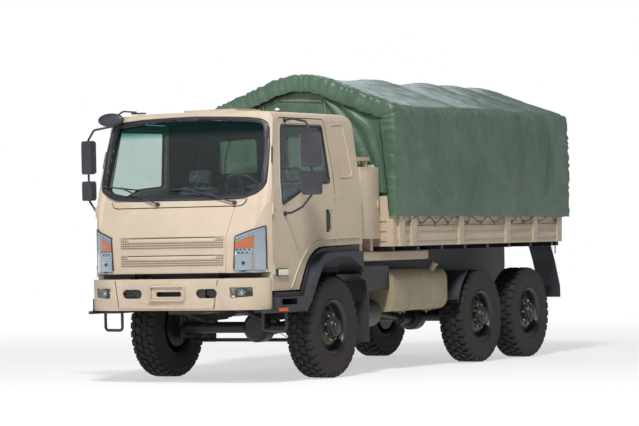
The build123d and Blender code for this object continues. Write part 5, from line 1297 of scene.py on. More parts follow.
# %% Mirror glass and sleeves
HEADS = ((2.425, 0.217, 0.362), (2.062, 0.200, 0.200))
ARM_X, ARM_Y = 3.028, 1.399
GLASS_EDGE = 0.014
for side, sign in (("left", 1), ("right", -1)):
    body = f"{side}_door"
    node = nodes[f"mirror_{side}"]
    sleeves, glasses = [], []
    for z in (2.575, 2.275, 2.130, 1.990):
        if node.ray_cast(Vector((8, sign * ARM_Y, z)), Vector((-1, 0, 0)))[0]:
            centre = Vector((ARM_X, sign * ARM_Y, z))
            half = Vector((0, 0, 0.032))
            sleeves.append(add_round("sleeve", centre - half, centre + half, 0.024, 20, 0.004))
    sleeve = join(f"mirror_sleeves_{side}", sleeves)
    dress(sleeve, SEAL_RUBBER, body, 40)
    for z, width, height in HEADS:
        glass = add_block("glass", (-0.0015, -width / 2 + GLASS_EDGE, -height / 2 + GLASS_EDGE),
                          (0.0015, width / 2 - GLASS_EDGE, height / 2 - GLASS_EDGE), 0.001, 1)
        hits = []
        for y in (1.36, 1.38, 1.42, 1.44):
            found, place, normal, face = node.ray_cast(Vector((0, sign * y, z + 0.05)), Vector((1, 0, 0)))
            if found and abs(normal.x) > 0.6:
                hits.append((place, normal))
        if hits:
            place, normal = hits[0]
            turn = Matrix.Rotation(atan2(normal.y, normal.x), 4, "Z")
            middle = place + Vector((0, 0, -0.05)) + normal * 0.002
            glass.data.transform(Matrix.Translation(middle) @ turn)
            glasses.append(glass)
        else:
            bpy.data.objects.remove(glass)
    if glasses:
        dress(join(f"mirror_glass_{side}", glasses), MIRROR_GLASS, body, 0)
    print("mirror", side, "sleeves", len(sleeves), "glasses", len(glasses))

# %% Ramp mirror at the right front corner
head = add_ball("head", (3.205, -0.975, 2.814), (0.050, 0.165, 0.074), 28)
HEAD_BACK_X = 3.175
for vertex in head.data.vertices:
    vertex.co.x = max(vertex.co.x, HEAD_BACK_X)
arm = add_tube("arm", [(3.185, -0.905, 2.862), (3.165, -0.842, 2.905), (3.120, -0.700, 2.890)], 0.009, 0.03)
foot = add_block("foot", (3.085, -0.755, 2.868), (3.150, -0.600, 2.884), 0.005)
ramp_mirror = join("ramp_mirror", [head, arm, foot])
dress(ramp_mirror, BLACK_ABS, "cab", 40)
print("ramp mirror at", [round(v, 3) for v in ramp_mirror.bound_box[0]])

# %% [markdown]
# ## Inside the cab
# Through the windscreen we see two suspension seats in film covers with their head rests, the dark
# dashboard with a pale sheet on it, the steering wheel and the inner mirror. The seats are soft:
# each cushion is a block whose faces are cut finely, puffed out and creased at its seams.

# %% Seats
GROOVE_DEPTH, CREASE_DEPTH = 0.010, 0.005


def puffed(name, low, high, puff, cells):
    """A cushion: a block with finely cut faces that bulge away from its seams."""
    piece = add_block(name, low, high)
    edit_all(piece)
    bpy.ops.mesh.subdivide(number_cuts=cells)
    bpy.ops.object.mode_set(mode="OBJECT")
    middle, half = (Vector(low) + Vector(high)) / 2, (Vector(high) - Vector(low)) / 2
    for vertex in piece.data.vertices:
        share = [(vertex.co[i] - middle[i]) / half[i] for i in range(3)]
        edge = sorted(max(0.0, 1 - abs(s)) for s in share)
        swell = min(1, edge[1] * 3.2) ** 0.6
        groove = GROOVE_DEPTH * max(0, 1 - abs(abs(share[1]) - 0.55) / 0.07) * (edge[1] > 0.02)
        crease = noise.noise(vertex.co * 16) * CREASE_DEPTH
        for i in range(3):
            if abs(share[i]) > 0.999:
                vertex.co[i] += (1 if share[i] > 0 else -1) * (puff * swell - puff - groove * swell + crease * swell)
    return modify(piece, "SUBSURF", levels=1, render_levels=1)


SEAT_Y, BACK_LEAN = 0.575, radians(-11)
for side, sign in (("left", 1), ("right", -1)):
    y = sign * SEAT_Y
    cushion_block = puffed(f"seat_cushion_{side}", (2.225, y - 0.235, 1.550), (2.700, y + 0.235, 1.662), 0.016, 9)
    back_rest = puffed("back", (-0.055, -0.225, 0.0), (0.055, 0.225, 0.46), 0.016, 9)
    head_rest = puffed("head", (-0.045, -0.130, 0.480), (0.045, 0.130, 0.645), 0.014, 6)
    lean = Matrix.Translation((2.165, y, 1.635)) @ Matrix.Rotation(BACK_LEAN, 4, "Y")
    for piece in (back_rest, head_rest):
        piece.data.transform(lean)
    rest = join(f"seat_back_{side}", [back_rest, head_rest])
    stays = [add_round("stay", lean @ Vector((0, s * 0.05, 0.44)), lean @ Vector((0, s * 0.05, 0.50)), 0.007, 8)
             for s in (-1, 1)]
    dress(join(f"head_rest_stays_{side}", stays), STEEL, "cab", 40)
    base = add_block(f"seat_base_{side}", (2.265, y - 0.19, 1.491), (2.665, y + 0.19, 1.548), 0.006)
    dress(base, CHASSIS_BLACK, "cab", 30)
    for piece in (cushion_block, rest):
        dress(piece, COVER, "cab", 60)
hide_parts("seats")

# %% Inner mirror, paper on the dash and a grab handle
top = touch("dashboard", (3.20, 0.35, 3.0), (0, 0, -1)).z
paper = add_block("paper_sheet", (3.06, 0.10, top + 0.0006), (3.27, 0.40, top + 0.0016), 0)
PAPER = new_material("printer_paper", "DADFE0", 0.8)
dress(paper, PAPER, "cab", 0)
roof_in = touch("cab_shell", (3.08, -0.05, 2.5), (0, 0, 1)).z
stem_line = [(3.10, -0.05, roof_in + 0.002), (3.12, -0.05, roof_in - 0.06), (3.10, -0.05, roof_in - 0.11)]
stem = add_tube("stem", stem_line, 0.007, 0.02)
glass_case = add_block("case", (3.085, -0.16, roof_in - 0.155), (3.105, 0.06, roof_in - 0.085), 0.008)
inner_mirror = join("inner_mirror", [stem, glass_case])
dress(inner_mirror, BLACK_ABS, "cab", 40)
print("inner mirror hangs under", round(roof_in, 3))

# %% [markdown]
# ## Wings and steps
# The wings keep well under the tilting cab, and a rubber lip bridges most of that room, flush with
# the door. The lip follows the wing's edge: a level run, a wide arc and a slope down to the step.
# Its edge is given by lengths from the front axle.

# %% Rubber lips, joint strips and reflectors
FRONT_AXLE_X = 2.145
EDGE = [Vector((-0.585, 1.372))]
EDGE += corner_arc((-0.59, 1.372), (0.384, 1.358), (0.615, 0.915), 0.415, 10)
EDGE += [Vector((0.615, 0.915)), Vector((1.195, 0.915))]
LIP_RISE = 0.033
lip_edge = []
for number, here in enumerate(EDGE):
    before, after = EDGE[max(0, number - 1)], EDGE[min(len(EDGE) - 1, number + 1)]
    run = (after - before).normalized()
    lip_edge.append(here + Vector((-run.y, run.x)) * LIP_RISE)
lip_edge[-2] = Vector((0.632, 0.948))
outline = [(p.x + FRONT_AXLE_X, 1.098, p.y) for p in EDGE + lip_edge[::-1]]
BOTH = ("chassis", "chassis")
both_sides(add_outline("wing_lip", outline, (0, 0.013, 0)), SEAL_RUBBER, *BOTH, 30)
strip = add_block("wing_joint", (0.430 + FRONT_AXLE_X, 1.1852, 0.985), (0.640 + FRONT_AXLE_X, 1.1862, 0.989))
both_sides(strip, BLACK_AND_PAINTED_SHADE, *BOTH, 0)
REFLECTOR_PLAN = [(3.209, 1.186), (3.275, 1.186), (3.348, 1.1607), (3.3495, 1.165), (3.277, 1.1905), (3.209, 1.1905)]
reflector = add_outline("step_reflector", [(x, y, 0.752) for x, y in REFLECTOR_PLAN], (0, 0, 0.036), 0.001)
both_sides(reflector, ORANGE_REFLECTOR, *BOTH, 30)
TREAD_X, RIB_PITCH, RIBS = 3.035, 0.040, 7
treads = []
for number in range(RIBS):
    x = TREAD_X + number * RIB_PITCH
    treads.append(add_block("rib", (x, 1.075, 0.8145), (x + 0.012, 1.178, 0.820), 0.0015, 1))
both_sides(join("step_tread", treads), CHASSIS_BLACK, *BOTH, 30)
print("wing lip:", len(lip_edge), "points along its edge")

# %% [markdown]
# ## Lacing and small hardware
# A taut rope laces the cover down to steel hooks on the bed sides, the same on both sides. The cabinet
# has a flush door with three hinges and a latch, and the tank's straps end in bolts under it.

# %% Hooks, rope, cabinet door and strap ends
HOOK_X = [0.634, 0.252, -0.091, -0.408, -0.911, -1.259, -1.607, -2.078, -2.412, -2.813, -3.300]
TIE_X = [0.730, 0.399, 0.080, -0.250, -0.512, -0.935, -1.401, -1.878, -2.209, -2.741, -3.123, -3.380]
HOOK_Z, TIE_Y, TIE_Z, ROPE_OUT = 1.628, 1.240, 1.725, 0.017
hooks, rope_line = [], []
for tie, hook in zip(TIE_X, HOOK_X):
    foot = touch("bed_sides", (hook, 5, 1.655), (0, -1, 0))
    hooks.append(add_tube("hook", [foot - Vector((0, 0.004, 0)), foot + Vector((0, 0.026, -0.004)),
                                   foot + Vector((-0.008, 0.028, -0.040)), foot + Vector((-0.010, 0.012, -0.050))],
                          0.0055, 0.012, 6, 3))
    rope_line += [(tie, TIE_Y, TIE_Z), (hook, foot.y + ROPE_OUT, HOOK_Z)]
rope_line.append((TIE_X[-1], TIE_Y, TIE_Z))
both_sides(add_tube("lacing_rope", rope_line, 0.0045, 0.012, 6, 3), BLACK_AND_PAINTED_SHADE, *BOTH, 50)
both_sides(join("rope_hooks", hooks), STEEL, *BOTH, 40)
door = [add_block("door", (0.952, 1.0490, 1.50), (1.304, 1.0535, 2.23), 0.002)]
door += [add_round("hinge", (1.308, 1.052, z), (1.308, 1.052, z + 0.07), 0.008, 12) for z in (1.55, 1.83, 2.11)]
door.append(add_block("latch", (0.966, 1.0530, 1.82), (0.992, 1.0680, 1.90), 0.004))
dress(join("cabinet_door", door), SAND, "chassis", 35)
ends = []
for x in (0.215, -0.425):
    for y in (0.62, 0.90):
        low = touch("fuel_tank", (x, y, 0.2), (0, 0, 1))
        corner, other = low - Vector((0.035, 0.045, 0.010)), low + Vector((0.035, 0.045, 0.003))
        ends.append(add_block("plate", corner, other, 0.003))
        ends.append(add_round("bolt", low - Vector((0, 0, 0.034)), low, 0.011, 6))
dress(join("tank_strap_ends", ends), TANK, "chassis", 30)
print("hooks on each side:", len(HOOK_X))

# %% [markdown]
# ## The canvas canopy
# One big sheet of coated canvas lies over five hoops and hangs down both sides. We lay out its
# section first: straight sides, a tight shoulder over the hoop's corner and a wide ridge. A grid is
# bent to that section, then raised and lowered along its outward direction. Every fold is a crest
# with long flanks, drawn where the photograph shows it: long tension folds that fall back from the
# hoops, short pleats under the roof's edge, slack pockets between the hoops, and fine wrinkles.

# %% Section of the canopy
HALF, FOOT_Z, SHOULDER_Z, RIDGE_Z = 1.2433, 1.715, 2.947, 3.395
FRONT_X, REAR_X = 0.905, -3.655
HOOPS = (0.735, -0.715, -1.945, -2.695, -3.385)
half_line = [Vector((HALF, FOOT_Z))]
half_line += corner_arc((HALF, FOOT_Z), (HALF, SHOULDER_Z), (0, RIDGE_Z), 0.130, 10)
ridge_arc = corner_arc((HALF, SHOULDER_Z), (0, RIDGE_Z), (-HALF, SHOULDER_Z), 1.050, 20)
half_line += ridge_arc[:11]
GIRTH_LINE = half_line + [Vector((-p.x, p.y)) for p in reversed(half_line[:-1])]
GIRTH_LENGTHS = [0.0]
for one, other in zip(GIRTH_LINE, GIRTH_LINE[1:]):
    GIRTH_LENGTHS.append(GIRTH_LENGTHS[-1] + (other - one).length)
GIRTH = GIRTH_LENGTHS[-1]


def along_girth(share):
    """Place and outward direction at a share of the way over the canopy, left hem to right hem."""
    goal = clamp(share) * GIRTH
    at = 1
    while at < len(GIRTH_LENGTHS) - 1 and GIRTH_LENGTHS[at] < goal:
        at += 1
    part = (goal - GIRTH_LENGTHS[at - 1]) / (GIRTH_LENGTHS[at] - GIRTH_LENGTHS[at - 1])
    place = GIRTH_LINE[at - 1].lerp(GIRTH_LINE[at], part)
    run = (GIRTH_LINE[at] - GIRTH_LINE[at - 1]).normalized()
    return place, Vector((run.y, -run.x))


print("girth of the canopy:", round(GIRTH, 3), "m")

# %% [markdown]
# The folds of the left side are lines of x and z with a height and a width. The right side isn't
# in the photograph, so the same set is turned round and shifted there.

# %% Folds
PLEAT_TOP_Z = 2.93
FOLDS = [
    ([(0.70, 2.95), (0.466, 2.672), (0.266, 2.332), (0.059, 2.103), (-0.153, 1.915), (-0.34, 1.842)], 0.030, 0.052),
    ([(0.62, 2.80), (0.604, 2.641), (0.524, 2.386), (0.459, 2.144), (0.346, 1.929), (0.136, 1.771)], 0.018, 0.040),
    ([(-0.70, 2.98), (-0.62, 2.90), (-0.38, 2.776), (-0.312, 2.63)], 0.020, 0.045),
    ([(-1.30, 2.97), (-1.424, 2.605), (-1.580, 2.322), (-1.772, 2.051), (-2.034, 1.747)], 0.032, 0.050),
    ([(-1.10, 2.95), (-1.00, 2.75), (-0.924, 2.582)], 0.022, 0.048),
    ([(-1.253, 2.527), (-1.106, 2.227), (-0.960, 1.930), (-0.886, 1.740)], 0.034, 0.075),
    ([(-1.881, 2.95), (-1.847, 2.537), (-1.956, 2.295), (-2.121, 2.113)], 0.018, 0.042),
    ([(-2.405, 2.95), (-2.326, 2.728), (-2.345, 2.391), (-2.31, 2.15)], 0.024, 0.060),
    ([(-2.581, 2.93), (-2.605, 2.610), (-2.804, 2.272), (-2.869, 2.132)], 0.018, 0.040),
    ([(-3.053, 2.95), (-2.963, 2.554), (-2.787, 1.930), (-2.74, 1.75)], 0.032, 0.070),
    ([(-3.210, 2.95), (-3.150, 2.400), (-3.105, 1.727)], 0.026, 0.040),
    ([(-0.023, 2.523), (-0.269, 2.396), (-0.489, 2.311)], 0.014, 0.035),
    ([(0.065, 2.652), (-0.140, 2.622), (-0.344, 2.630), (-0.603, 2.694)], 0.012, 0.030),
    ([(-0.716, 2.313), (-0.844, 2.270), (-0.979, 2.345)], 0.012, 0.032),
    ([(-0.20, 2.20), (-0.42, 2.04), (-0.56, 1.93)], 0.016, 0.038),
    ([(-1.55, 2.18), (-1.62, 1.95), (-1.60, 1.76)], 0.014, 0.045),
]
PLEATS = [(0.48, -0.10, 0.50), (0.30, -0.30, 0.34), (0.12, 0.12, 0.30), (-0.12, -0.22, 0.30), (-0.30, 0.25, 0.26),
          (-0.52, 0.10, 0.34), (-0.86, -0.18, 0.40), (-1.02, 0.20, 0.30), (-1.22, -0.05, 0.26), (-1.52, 0.22, 0.34),
          (-1.74, -0.12, 0.36), (-2.06, 0.16, 0.40), (-2.24, -0.20, 0.30), (-2.52, 0.05, 0.46), (-2.78, -0.16, 0.34),
          (-2.95, 0.10, 0.40), (-3.32, -0.08, 0.44), (-3.48, 0.12, 0.30)]


def exp_fall(distance, width):
    """1 at no distance, falling smoothly within a width."""
    return 1 / (1 + (distance / width) ** 2)


def fold_height(x, z):
    """Height of all fold crests at a place on a side."""
    here = Vector((x, z))
    total = 0.0
    for points, height, width in FOLDS:
        best, best_share = 9.0, 0.0
        for number, (one, other) in enumerate(zip(points, points[1:])):
            one, other = Vector(one), Vector(other)
            run = other - one
            share = clamp((here - one).dot(run) / run.length_squared)
            gap = (one + run * share - here).length
            if gap < best:
                best, best_share = gap, (number + share) / (len(points) - 1)
        if best < 4 * width:
            taper = min(1, 3.5 * min(best_share + 0.12, 1.08 - best_share))
            total += height * taper * (1 / (1 + (best / width) ** 1.5) - 0.11)
    return total


def pleat_height(x, z):
    """Short pleats that start at the roof's edge and open downwards."""
    depth = PLEAT_TOP_Z - z
    total = 0.0
    for start, lean, length in PLEATS:
        if depth < length * 1.2:
            gap = abs(x - start - lean * max(0, depth))
            width = 0.018 + 0.09 * max(0, depth)
            fade = max(0, 1 - max(0, depth) / length) * clamp(1 + depth / 0.06)
            total += 0.020 * fade / (1 + (gap / width) ** 2)
    return total


def wrinkles(x, around, side):
    """Fine wrinkles, longer across than along, from ridged noise."""
    coarse = noise.fractal(Vector((x * 1.3, around * 1.1, side * 7.0)), 0.8, 2.1, 4)
    spot = Vector((x * 3.1 + around * 1.3, around * 2.3, side * 3.0))
    fine = noise.ridged_multi_fractal(spot, 0.9, 2.2, 4, 1.0, 2.0)
    return 0.011 * coarse + 0.0042 * (fine - 1.1)


def hoop_tent(x):
    """0 on a hoop, 1 in the middle between two hoops."""
    for one, other in zip(HOOPS, HOOPS[1:]):
        if other <= x <= one:
            return sin(pi * (one - x) / (one - other))
    return 0.0


FRONT_FOLD, REAR_FOLD = 0.20, 0.16
RUFFLE_PITCH = 0.115
WALL_TOP_Z, SLACK_Z, HEM_DROP = 2.99, 2.2, 0.036
ALONG, AROUND = 236, 290


def gather(share, turn, phase):
    """Ruffles of a gathered hem: sharp pleats with changing widths."""
    wobble = noise.noise(Vector((share * 23.0, phase, 0.3)))
    wave = (share * GIRTH / RUFFLE_PITCH + 1.4 * wobble + phase) % 1.0
    ridge = abs(2 * wave - 1)
    smaller = noise.noise(Vector((share * 130.0, turn * 4.0, phase * 3.1)))
    return (ridge - 0.5) * (0.6 + 0.8 * abs(wobble)) + 0.35 * smaller


def canopy_point(u, v):
    """Place of the sheet: u from the rear hem to the front hem, v from the left foot over to the right."""
    length = FRONT_X - REAR_X + FRONT_FOLD + REAR_FOLD - 0.06
    run = u * length
    front_turn = max(0, (run - (length - FRONT_FOLD)) / FRONT_FOLD)
    rear_turn = max(0, (REAR_FOLD - run) / REAR_FOLD)
    x = REAR_X + 0.03 + min(max(run - REAR_FOLD, 0), FRONT_X - REAR_X - 0.06)
    (y, z), outward = along_girth(v)
    side = 1 if y >= 0 else -1
    fold_x = x if side > 0 else FRONT_X + REAR_X - x - 0.21
    around = v * GIRTH
    on_wall = clamp((WALL_TOP_Z - z) / 0.10)
    hem = clamp((z - FOOT_Z) / 0.25) if z < SLACK_Z else 1.0
    height = wrinkles(x, around, side) * (0.35 + 0.65 * hem)
    height += on_wall * fold_height(fold_x, z) * (0.5 + 0.9 * hem)
    height += on_wall * pleat_height(fold_x, z)
    height -= on_wall * 0.012 * hoop_tent(x) * sin(pi * clamp((z - FOOT_Z) / 1.2))
    near_hoop = max(exp_fall(abs(x - hoop), 0.035) for hoop in HOOPS)
    height += (1 - on_wall) * (0.009 * near_hoop - 0.030 * hoop_tent(x) * (0.4 + 0.6 * (1 - abs(y) / HALF)))
    height += 0.006 * exp_fall(abs(z - (FOOT_Z + 0.062)), 0.007) * on_wall
    ruffle_front = clamp((x - FRONT_X + 0.28) / 0.25) ** 1.6
    ruffle_rear = clamp((REAR_X + 0.22 - x) / 0.19) ** 1.6
    wall_low = clamp((z - FOOT_Z) / 0.5)
    ruffle = gather(v, front_turn, 0.0) * ruffle_front + gather(v, rear_turn, 5.0) * ruffle_rear
    height += 0.026 * ruffle * (0.25 + 0.75 * wall_low)
    if front_turn > 0:
        angle = front_turn * 2.0
        drawn = 0.5 + 0.5 * clamp((z - 2.0) / 0.7)
        height -= (0.105 * drawn * (1 - cos(angle)) + 0.012) * (0.45 + 0.75 * min(1, front_turn * 2))
        x += 0.030 * sin(angle * 1.1) + 0.016 * ruffle * front_turn
    if rear_turn > 0:
        angle = rear_turn * 1.9
        height -= 0.075 * (1 - cos(angle))
        x -= 0.028 * sin(angle * 1.1) + 0.012 * ruffle * rear_turn
    bulge = 0.020 * sin(pi * clamp((z - FOOT_Z) / 1.25)) * clamp((REAR_X + 0.5 - x) / 0.5)
    height -= min(0.10, max(0, (REAR_X + 0.30 - x) / 0.30) ** 2 * 0.035) * (1 - on_wall)
    x -= bulge
    height += 0.010
    drop = HEM_DROP * (x - REAR_X) / (FRONT_X - REAR_X)
    z_low = max(0, 1 - (z - FOOT_Z) / 0.3)
    scallop = 0.010 * abs(sin(pi * (fold_x - 0.4) / 0.42))
    z += z_low * (drop + scallop - 0.030)
    return Vector((x, y + outward.x * height, z + outward.y * height))


def cloth_area(sheet):
    """Area of a sheet's cloth."""
    return sum(face.area for face in sheet.data.polygons)


fineness = 1
tarp = bend_grid("canvas_canopy", ALONG // fineness, AROUND // fineness, canopy_point)
dress(tarp, CANVAS, "chassis", 180)
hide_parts("canopy")

# %% [markdown]
# ## Front curtains and rear roll
# Across the front hoop hangs a loose curtain. Its left and right wings are drawn aside and fall in
# folds that fan out from the ridge; the left wing's tip is turned over and shows its shiny, paler inside,
# with painted highlights in its colour. Each wing is a sheet between two lines: its free edge, and the canopy's
# section.


# %% Loose sheets across the front
def roof_z(y, gap):
    """Height of the canopy's inside over a place across the truck."""
    for one, other in zip(GIRTH_LINE, GIRTH_LINE[1:]):
        if other.x <= y <= one.x and one.x != other.x:
            return one.y + (other.y - one.y) * (y - one.x) / (other.x - one.x) - gap
    return SHOULDER_Z - gap


def line_point(points, share):
    """A point at a share of the way along a line of places."""
    lengths = [(Vector(b) - Vector(a)).length for a, b in zip(points, points[1:])]
    goal = share * sum(lengths)
    for (one, other), length in zip(zip(points, points[1:]), lengths):
        if goal <= length:
            return Vector(one).lerp(Vector(other), goal / length)
        goal -= length
    return Vector(points[-1])


CURTAIN_HALF, CURTAIN_FOOT_Z = 1.215, 1.955
CURTAIN_HEIGHT, TIP_HEIGHT = 1.30, 0.32


def middle_point(u, v):
    """The closed middle of the curtain, gently wrinkled."""
    y = (2 * u - 1) * CURTAIN_HALF
    z = CURTAIN_FOOT_Z + (roof_z(y, 0.022) - CURTAIN_FOOT_Z) * v
    soft = noise.fractal(Vector((y * 1.6, z * 1.1, 4.0)), 0.9, 2.0, 4)
    sharp = noise.ridged_multi_fractal(Vector((y * 2.2, z * 1.7, 9.0)), 0.9, 2.1, 4, 1.0, 2.0)
    return Vector((0.842 + 0.010 * soft + 0.004 * (sharp - 1), y, z))


LEFT_FREE = [(0.285, 3.205), (0.305, 3.10), (0.420, 2.960), (0.515, 2.846), (0.593, 2.686), (0.703, 2.483),
             (0.828, 2.294), (0.900, 2.080), (0.925, 1.990)]
RIGHT_FREE = [(-0.425, 3.190), (-0.735, 3.017), (-0.880, 2.800), (-0.960, 2.450), (-1.000, 2.100), (-1.010, 1.990)]


def wing_point(u, v, free, side):
    """A wing of the curtain: u from the free edge to the canopy, v from the foot to the ridge."""
    edge = line_point(free, 1 - v)
    start = abs(free[0][0])
    under_roof = [side * (start + (1.19 - start) * i / 8) for i in range(9)]
    outer = [(y, roof_z(y, 0.016)) for y in under_roof]
    outer += [(side * CURTAIN_HALF, z) for z in (2.82, 2.40, 1.99)]
    rim = line_point(outer, 1 - v)
    place = edge.lerp(rim, u)
    reach = (1 - v) ** 0.6
    fan = sin(2 * pi * (u * 3.2 + 0.25 * noise.noise(Vector((u * 3, v * 2, side))))) * (1 - 0.5 * u)
    sharp = noise.ridged_multi_fractal(Vector((u * 2.2, v * 1.4, side * 5.0)), 0.9, 2.2, 4, 1.0, 2.0)
    depth = 0.020 * reach * fan + 0.0075 * (sharp - 1) + 0.010 * exp_fall(u, 0.06)
    return Vector((0.872 + depth, place.x, place.y))


def hang(sheet, material, smooth, height):
    """Finish a hanging sheet and print its cloth's area; its flat width, that area over its height, is worked out
    but not kept.
    """
    dress(sheet, material, "chassis", smooth)
    cloth_area(sheet) / height
    print(sheet.name, "area", round(cloth_area(sheet), 2))


fineness = 1
CURTAINS = {"middle": (96, 60, middle_point), "left_wing": (72, 90, lambda u, v: wing_point(u, v, LEFT_FREE, 1)),
            "right_wing": (60, 80, lambda u, v: wing_point(u, v, RIGHT_FREE, -1))}
for name, (across, up, place_of) in CURTAINS.items():
    sheet = bend_grid(f"curtain_{name}", across // fineness, up // fineness, place_of)
    hang(sheet, CANVAS, 180, CURTAIN_HEIGHT)
    if name == "middle":
        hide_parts("front_curtain")

TIP = [(0.842, 2.300), (0.838, 2.240), (0.862, 2.130), (0.905, 2.005)]
TIP_OUT = [(0.990, 2.300), (1.010, 2.200), (1.015, 2.120), (1.000, 2.055)]


def tip_point(u, v):
    """The turned-over tip of the left wing, pulled into sharp folds that meet at its point."""
    inner, outer = line_point(TIP, 1 - v), line_point(TIP_OUT, 1 - v)
    place = inner.lerp(outer, u)
    crease = abs(((u * 3.4 + 0.35 * v) % 1.0) * 2 - 1)
    x = 0.905 + 0.022 * crease * (0.4 + 0.6 * v) + 0.004 * noise.noise(Vector((u * 6, v * 9, 2)))
    return Vector((x, place.x, place.y))


def lining_point(u, v):
    """The pale strip of lining that shows beside the left wing's free edge."""
    edge = line_point([(0.470, 2.900), (0.593, 2.686), (0.703, 2.483), (0.800, 2.320)], 1 - v)
    width = 0.075 * sin(pi * min(1, v * 0.9 + 0.1)) + 0.004
    return Vector((0.862 + 0.006 * sin(6 * v), edge.x - width * u, edge.y - 0.25 * width * u))


tip = bend_grid("curtain_tip", 26, 22, tip_point)
lining = bend_grid("curtain_lining", 6, 30, lining_point)
# The tip's pale tones are partly the paler inner cloth and partly painted highlights of its gloss.
TIP_PALE_AND_PAINTED_HIGHLIGHTS = coated_canvas("paler_pvc_inside_and_painted_highlights", "8FA593", "C3CFC4", 0.26)
for sheet, material in ((tip, TIP_PALE_AND_PAINTED_HIGHLIGHTS), (lining, CANVAS_INNER)):
    hang(sheet, material, 40, TIP_HEIGHT)

# %% Cords of the front opening
CORD_BLACK = new_material("black_polypropylene_cord", "15161A", 0.6)
CORD_YELLOW = new_material("yellow_green_nylon_cord", "A9A83C", 0.6)
CORD_STEPS, CORD_OUT = 120, 0.003
for name, end, out in (("front_drawcord", 1.0, CORD_OUT), ("rear_drawcord", 0.0, -CORD_OUT)):
    hem_line = [canopy_point(end, 0.012 + 0.976 * i / CORD_STEPS) + Vector((out, 0, 0))
                for i in range(CORD_STEPS + 1)]
    dress(add_tube(name, hem_line, 0.0055, 0.02, 6, 1), CORD_BLACK, "chassis", 60)

PANEL_X = 0.862
PANEL_CORDS = ([(-0.455, 3.088), (-0.175, 3.062), (0.340, 3.034)], [(-0.455, 3.088), (-0.485, 2.60)],
               [(0.340, 3.034), (0.395, 2.60)])
cords = [add_tube("cord", [(PANEL_X, *spot) for spot in run_along(points, 6)], 0.004, 0.01, 6, 1)
         for points in PANEL_CORDS]
dress(join("curtain_cords", cords), CORD_YELLOW, "chassis", 60)
print("hem cord points:", len(hem_line))

# %% [markdown]
# The rear curtain isn't in the photograph. We show it rolled up under the last hoop, as such
# trucks are driven: a real spiral of cloth, three and a half turns, held by three webbing straps.

# %% Rear curtain roll
roll_low, roll_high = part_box("curtain_roll")
ROLL_R = 0.060
roll_x = (roll_low.x + roll_high.x) / 2
TURNS = 3.5
STRAP_Y = (-0.75, 0.0, 0.75)
ROLL_LENGTH = 2.15


def roll_middle(y):
    """Centre of the roll over a place across the truck."""
    top = roll_high.z - ROLL_R
    slope = (RIDGE_Z - SHOULDER_Z) / HALF
    bend_half = 0.36
    if abs(y) < bend_half:
        return top - slope * y * y / (2 * bend_half)
    return top - slope * (abs(y) - bend_half / 2)


def roll_point(u, v):
    """The rolled sheet: u across the truck, v round the spiral."""
    y = (2 * u - 1) * ROLL_LENGTH / 2
    angle = v * TURNS * 2 * pi
    radius = 0.016 + (ROLL_R - 0.018) * v + 0.0025 * noise.noise(Vector((y * 9, angle * 0.8, 1)))
    radius *= 1 - 0.06 * max(exp_fall(y - strap, 0.03) for strap in STRAP_Y)
    return Vector((roll_x + cos(angle) * radius, y, roll_middle(y) + sin(angle) * radius))


roll = bend_grid("rolled_rear_curtain", 70 // fineness, 100 // fineness, roll_point)
dress(roll, CANVAS, "chassis", 60)
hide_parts("curtain_roll")
STRAP_SECTION = [(0.0605, -0.018), (0.0625, -0.018), (0.0625, 0.018), (0.0605, 0.018)]
straps = [add_lathe("strap", STRAP_SECTION, 32, "Y", (roll_x, y, roll_middle(y))) for y in STRAP_Y]
dress(join("roll_straps", straps), CORD_BLACK, "chassis", 40)
print("rear curtain cloth:", round(cloth_area(roll), 2), "square metres")

# %% [markdown]
# ## Floor, light and camera
# A pale floor and a white backdrop keep the eye on the truck. The world is white to the camera
# and to mirrors, and a softer sky for light, so metal and glass show the background while the
# shaded side still looks shaded. The key light stands high, ahead of the truck and to its left,
# as the sun does in the photograph: shadows fall short and steep, and the nose is the brightest side.

# %% Floor
bpy.ops.mesh.primitive_plane_add(size=400, location=(0, 0, -0.002))
floor = bpy.context.object
floor.name = "floor"
FLOOR_PAINT = new_material("pale_floor", "F4F4F2", 0.9)
tree = FLOOR_PAINT.node_tree
rays = add_node(FLOOR_PAINT, "ShaderNodeLightPath")
white = add_node(FLOOR_PAINT, "ShaderNodeEmission", Color=(1, 1, 1, 1), Strength=1.0)
seen = add_node(FLOOR_PAINT, "ShaderNodeMath", [(0, rays, "Is Camera Ray"), (1, rays, "Is Glossy Ray")],
                operation="MAXIMUM")
place = add_node(FLOOR_PAINT, "ShaderNodeTexCoord")
reach = add_node(FLOOR_PAINT, "ShaderNodeVectorMath", [("Vector", place, "Object")], operation="LENGTH")
far = add_node(FLOOR_PAINT, "ShaderNodeMapRange", [("Value", reach, "Value")],
               **{"From Min": 5.0, "From Max": 16.0, "To Min": 0.55, "To Max": 1.0})
share = add_node(FLOOR_PAINT, "ShaderNodeMath", [(0, seen, "Value"), (1, far, "Result")], operation="MULTIPLY")
blend_in = add_node(FLOOR_PAINT, "ShaderNodeMixShader",
                    [("Fac", share, 0), (1, shader_of(FLOOR_PAINT), 0), (2, white, 0)])
tree.links.new(blend_in.outputs[0], tree.nodes["Material Output"].inputs["Surface"])
floor.data.materials.append(FLOOR_PAINT)
floor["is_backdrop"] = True
print("floor:", floor.name)

# %% World and lamps
world = bpy.data.worlds.new("studio")
bpy.context.scene.world = world
world.use_nodes = True
tree = world.node_tree
sky = tree.nodes["Background"]
sky.inputs["Color"].default_value = linear("DCE6F2")
sky.inputs["Strength"].default_value = 0.24
plain = add_node(world, "ShaderNodeBackground", Color=(1, 1, 1, 1))
rays = add_node(world, "ShaderNodeLightPath")
either = add_node(world, "ShaderNodeMath", [(0, rays, "Is Camera Ray"), (1, rays, "Is Transmission Ray")],
                  operation="MAXIMUM")
blend_in = add_node(world, "ShaderNodeMixShader", [("Fac", either, 0), (1, sky, 0), (2, plain, 0)])
tree.links.new(blend_in.outputs[0], tree.nodes["World Output"].inputs["Surface"])


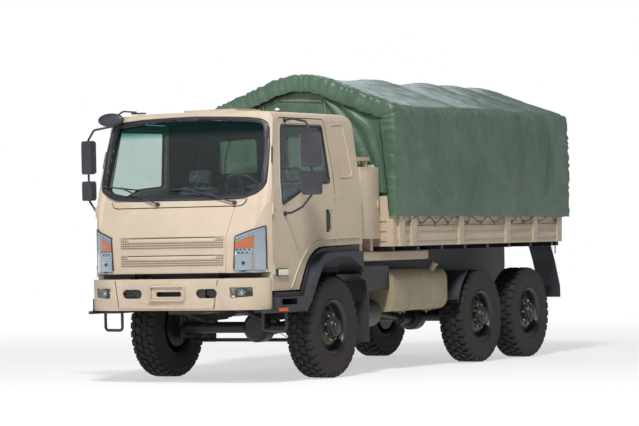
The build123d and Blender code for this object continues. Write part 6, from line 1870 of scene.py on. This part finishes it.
def add_lamp(name, place, aim, size, power, color):
    """A large square area lamp that looks at a point."""
    bpy.ops.object.light_add(type="AREA", location=place)
    lamp = bpy.context.object
    lamp.name = name
    lamp.data.size = size
    lamp.data.energy = power
    lamp.data.color = linear(color)[:3]
    lamp.rotation_euler = (Vector(aim) - Vector(place)).to_track_quat("-Z", "Y").to_euler()
    return lamp


add_lamp("key_lamp", (14.8, 6.4, 19.0), (0.0, 0.0, 1.5), 3.2, 5600, "FFFDFA")
add_lamp("nose_lamp", (19.0, -7.0, 6.0), (2.5, 0.0, 1.5), 7.0, 620, "EEF2FF")
add_lamp("back_lamp", (-14.0, -8.0, 9.0), (-1.0, 0.0, 1.8), 8.0, 500, "EAF1FF")
print("lamps and world are set")

# %% [markdown]
# The camera stands where the photographer stood, found from the wheels, seams and canopy corners:
# 29 m ahead and 16 m to the truck's left, at eye height, with a long lens. It leans a little.

# %% Camera
EYE = Vector((29.329, 16.486, 1.562))
YAW, PITCH, ROLL = 3.66, radians(0.380), radians(-1.1765)
SENSOR, LENS_LENGTH = 36.0, 164.13
bpy.ops.object.camera_add(location=EYE)
camera = bpy.context.object
camera.name = "camera"
ahead = Vector((cos(PITCH) * cos(YAW), cos(PITCH) * sin(YAW), sin(PITCH)))
level = ahead.cross(Vector((0, 0, 1))).normalized()
upright = level.cross(ahead)
side_way = cos(ROLL) * level + sin(ROLL) * upright
up_way = -sin(ROLL) * level + cos(ROLL) * upright
turn = Matrix((side_way, up_way, -ahead)).transposed()
camera.rotation_mode = "QUATERNION"
camera.rotation_quaternion = turn.to_quaternion()
camera.data.sensor_width = SENSOR
camera.data.lens = LENS_LENGTH
camera.data.clip_start, camera.data.clip_end = 0.5, 500
bpy.context.scene.camera = camera
bpy.context.scene.view_settings.view_transform = "Standard"
print("camera looks along", [round(v, 3) for v in ahead])

# %% Size of the frame and of the dressed truck
dressed_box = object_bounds()
for label, box in (("frame", cad_box), ("dressed", dressed_box)):
    print(label, [[round(v, 3) for v in corner] for corner in box])
